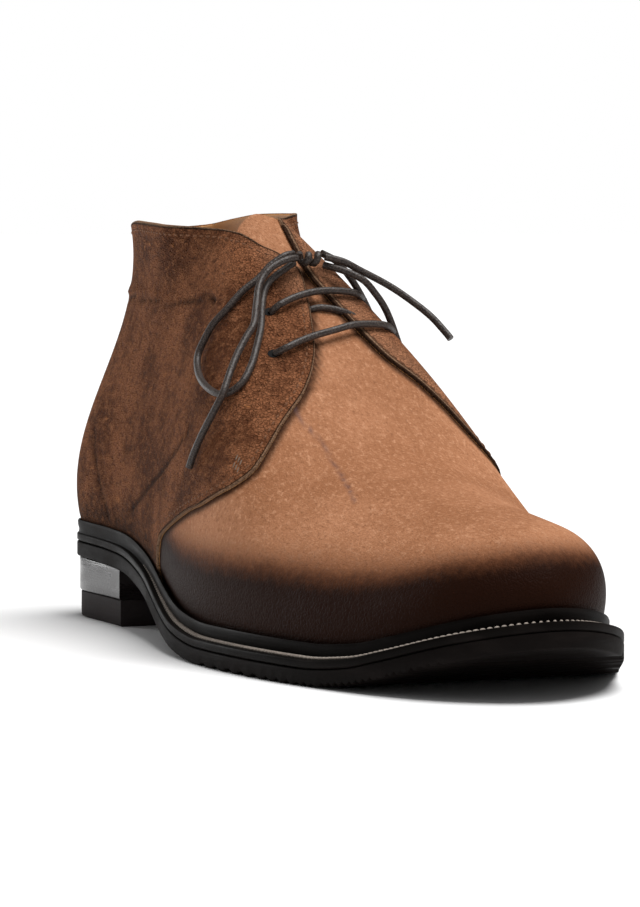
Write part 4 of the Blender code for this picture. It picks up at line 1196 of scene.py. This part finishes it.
# Lace: two crossings that dive into their eyelets, an underpass, the knot, and the bow's loops and ends.
lace = {
    "diameter": laceDiameter,
    "fullness": 0.92,
    "spacing": 0.45,
    "sides": 12,
    "crossings": {
        "laceCrossing1": [
            (0.1381, -0.0137, 0.1022), (0.1396, -0.0116, 0.1045), (0.1384, -0.0065, 0.1066),
            (0.1371, -0.0008, 0.1081), (0.1361, 0.0056, 0.1088), (0.1352, 0.0126, 0.1085),
            (0.1340, 0.0172, 0.1077), (0.1303, 0.0206, 0.1062),
        ],
        "laceCrossing2": [
            (0.1522, -0.0184, 0.0902), (0.1544, -0.0159, 0.0919), (0.1530, -0.0101, 0.0941),
            (0.1516, -0.0043, 0.0957), (0.1502, 0.0022, 0.0971), (0.1483, 0.0090, 0.0985),
            (0.1467, 0.0153, 0.0987), (0.1447, 0.0218, 0.0982), (0.1404, 0.0264, 0.0962),
        ],
    },
    "underpass": [(0.1374, -0.0050, 0.1010), (0.1386, 0.0008, 0.1034), (0.1393, 0.0051, 0.1034),
                  (0.1399, 0.0102, 0.1022), (0.1400, 0.0150, 0.1000)],
    "eyelets": [(0.1381, -0.0137, 0.1022), (0.1522, -0.0184, 0.0902), (0.1303, 0.0206, 0.1066),
                (0.1404, 0.0264, 0.0964)],
}


def tubeMesh(name, route, diameter, material, sides=lace["sides"]):
    # a round tube with closed ends along a smooth route
    points = smoothRoute(route, diameter * lace["spacing"])
    along = unit(np.gradient(points, axis=0))
    radius = diameter / 2 * lace["fullness"]
    vertices, faces = [], []
    across = unit(np.cross(along[0], (0.0, 0.0, 1.0)))
    for k, point in enumerate(points):
        across = unit(across - along[k] * np.dot(across, along[k]))
        other = np.cross(along[k], across)
        for side in range(sides):
            angle = 2 * math.pi * side / sides
            away = across * math.cos(angle) + other * math.sin(angle)
            vertices.append(tuple(point + homeShift + away * radius))
    for k in range(len(points) - 1):
        faces += bandFaces(k * sides, (k + 1) * sides, sides)
    faces.append(list(range(sides)))
    last = (len(points) - 1) * sides
    faces.append([last + i for i in range(sides)][::-1])
    mesh = bpy.data.meshes.new(name)
    mesh.from_pydata(vertices, [], faces)
    return finishMesh(name, mesh, material, weld=1e-8, angle=60), points + homeShift


for number, (name, route) in enumerate(lace["crossings"].items()):
    piece, _ = tubeMesh(name, route, lace["diameter"], looks["lace"])
    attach(piece, "root")
    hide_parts(f"lace_bar_{number + 1}")
underPiece, _ = tubeMesh("laceUnderpass", lace["underpass"], lace["diameter"], looks["lace"])
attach(underPiece, "root")


knot = {
    "steps": 27,
    "turns": 2.3,
    "startAngle": 0.6,
    "width": 0.0072,
    "radius": 0.0014,
    "lace": 0.0025,
    "sides": 10,
}


def buildKnot():
    # the knot is the lace wound round itself a little over twice
    route = []
    for k in range(knot["steps"] + 1):
        t = k / knot["steps"]
        angle = 2 * math.pi * knot["turns"] * t + knot["startAngle"]
        coil = (math.cos(angle) * knot["radius"], (t - 0.5) * knot["width"], math.sin(angle) * knot["radius"])
        route.append(np.array(knotCenter) + coil)
    return tubeMesh("laceKnot", route, knot["lace"], looks["lace"], knot["sides"])[0]


knotPiece = buildKnot()
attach(knotPiece, "root")
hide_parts("lace_knot")
cords = {
    "laceLoopLateral": ("lace_loop_lateral", lateralLoop, "object"),
    "laceEndLateral": ("lace_end_lateral", lateralEnd, "bare"),
    "laceLoopMedial": ("lace_loop_medial", medialLoop, "object"),
    "laceEndMedial": ("lace_end_medial", medialEnd, "bare"),
}
for name, (node, route, farEnd) in cords.items():
    piece, points = tubeMesh(name, route, lace["diameter"], looks["lace"])
    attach(piece, "root")
    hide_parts(node)


eyelet = {
    "stations": 881,
    "shares": (0.5, 0.995, 160),
    "radius": 0.0018,
    "depth": 0.0010,
    "sink": 0.0004,
    "segments": 20,
}


def buildEyelets():
    # punched holes: near-black wells of painted shade set into the quarters where the last passes nearest to
    # each spot
    shape = bmesh.new()
    stations = np.linspace(-toeRow, toeRow, eyelet["stations"])
    shares = np.linspace(*eyelet["shares"])
    places = lastPoint(stations[:, None], shares[None])
    radius = eyelet["radius"]
    for spot in lace["eyelets"]:
        gap = ((places - np.array(spot)) ** 2).sum(-1)
        i, j = np.unravel_index(gap.argmin(), gap.shape)
        normal = Vector(lastNormal(stations[i:i + 1], shares[j:j + 1])[0])
        centre = Vector(places[i, j] + homeShift) + normal * (quarterThickness - eyelet["sink"])
        turnTo = normal.to_track_quat("Z", "Y").to_matrix().to_4x4()
        bmesh.ops.create_cone(shape, cap_ends=True, segments=eyelet["segments"], depth=eyelet["depth"],
                              radius1=radius, radius2=radius, matrix=Matrix.Translation(centre) @ turnTo)
    mesh = bpy.data.meshes.new("eyeletShadeWells")
    shape.to_mesh(mesh)
    shape.free()
    item = linked("eyeletShadeWells", mesh)
    mesh.materials.append(looks["holeShadow"])
    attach(item, "root")


buildEyelets()
print("stage: lace tied")

# Floor, light and camera: the photograph's place of the camera beside the shoe, with a longer lens.
studio = {
    "floor": (0.97, 0.97, 0.97),
    "floorReach": 40,
    "sky": 0.22,
    "backdrop": 1.0,
    "sun": ((0.16, 0.26, 1.0), 3.3, 40),
    "lights": [
        ("heelLight", (-1.20, -0.55, 0.30), (-0.10, -0.03, 0.03), 0.5, 3.0),
    ],
    "camera": (1.30581, -0.52106, 0.12943),
    "cameraUp": (-0.06369, 0.02783, 0.99758),
    "aim": (0.1555, -0.0050, 0.0600),
    "focalPixels": 4185.0,
    "frameHeight": 907.0,
    "sensor": 36.0,
}
floorMesh = bpy.data.meshes.new("floor")
floorReach = studio["floorReach"]
corners = [(x * floorReach, y * floorReach, 0) for x, y in ((-1, -1), (1, -1), (1, 1), (-1, 1))]
floorMesh.from_pydata(corners, [], [[0, 1, 2, 3]])
floor = linked("floor", floorMesh)
floorFinish = Finish("paleFloor", Roughness=0.9, Specular_IOR_Level=0.1)
floorFinish.shader.inputs["Base Color"].default_value = (*studio["floor"], 1.0)
floorMesh.materials.append(floorFinish.material)

# the sky is white to the eye and dimmer as a light, so the leather keeps its shadows
world = bpy.data.worlds.new("studio")
bpy.context.scene.world = world
world.use_nodes = True
skyTree = world.node_tree
skyShade = skyTree.nodes["Background"]
skyShade.inputs["Color"].default_value = (1, 1, 1, 1)
eye = skyTree.nodes.new("ShaderNodeLightPath")
amount = skyTree.nodes.new("ShaderNodeMapRange")
amount.inputs["To Min"].default_value = studio["sky"]
amount.inputs["To Max"].default_value = studio["backdrop"]
skyTree.links.new(eye.outputs["Is Camera Ray"], amount.inputs["Value"])
skyTree.links.new(amount.outputs[0], skyShade.inputs["Strength"])
sunPlace, sunPower, sunSpread = studio["sun"]
sunData = bpy.data.lights.new("sunLight", "SUN")
sunData.energy = sunPower
sunData.angle = math.radians(sunSpread)
sun = linked("sunLight", sunData)
sun.rotation_euler = Vector(sunPlace).to_track_quat("Z", "Y").to_euler()
for name, place, target, size, power in studio["lights"]:
    data = bpy.data.lights.new(name, "AREA")
    data.shape = "DISK"
    data.size = size
    data.energy = power
    lamp = linked(name, data)
    lamp.location = place
    lamp.rotation_euler = (Vector(target) - Vector(place)).to_track_quat("-Z", "Y").to_euler()

cameraData = bpy.data.cameras.new("camera")
camera = linked("camera", cameraData)
cameraData.sensor_width = studio["sensor"]
cameraData.lens = studio["focalPixels"] / studio["frameHeight"] * cameraData.sensor_width
cameraPlace = Vector(studio["camera"]) + Vector(homeShift)
ahead = (Vector(studio["aim"]) + Vector(homeShift) - cameraPlace).normalized()
rightward = ahead.cross(Vector(studio["cameraUp"])).normalized()
upward = rightward.cross(ahead)
turnTo = Matrix((rightward, upward, -ahead)).transposed().to_4x4()
camera.matrix_world = Matrix.Translation(cameraPlace) @ turnTo
bpy.context.scene.camera = camera
bpy.context.scene.view_settings.view_transform = "Standard"
print("stage: studio set")
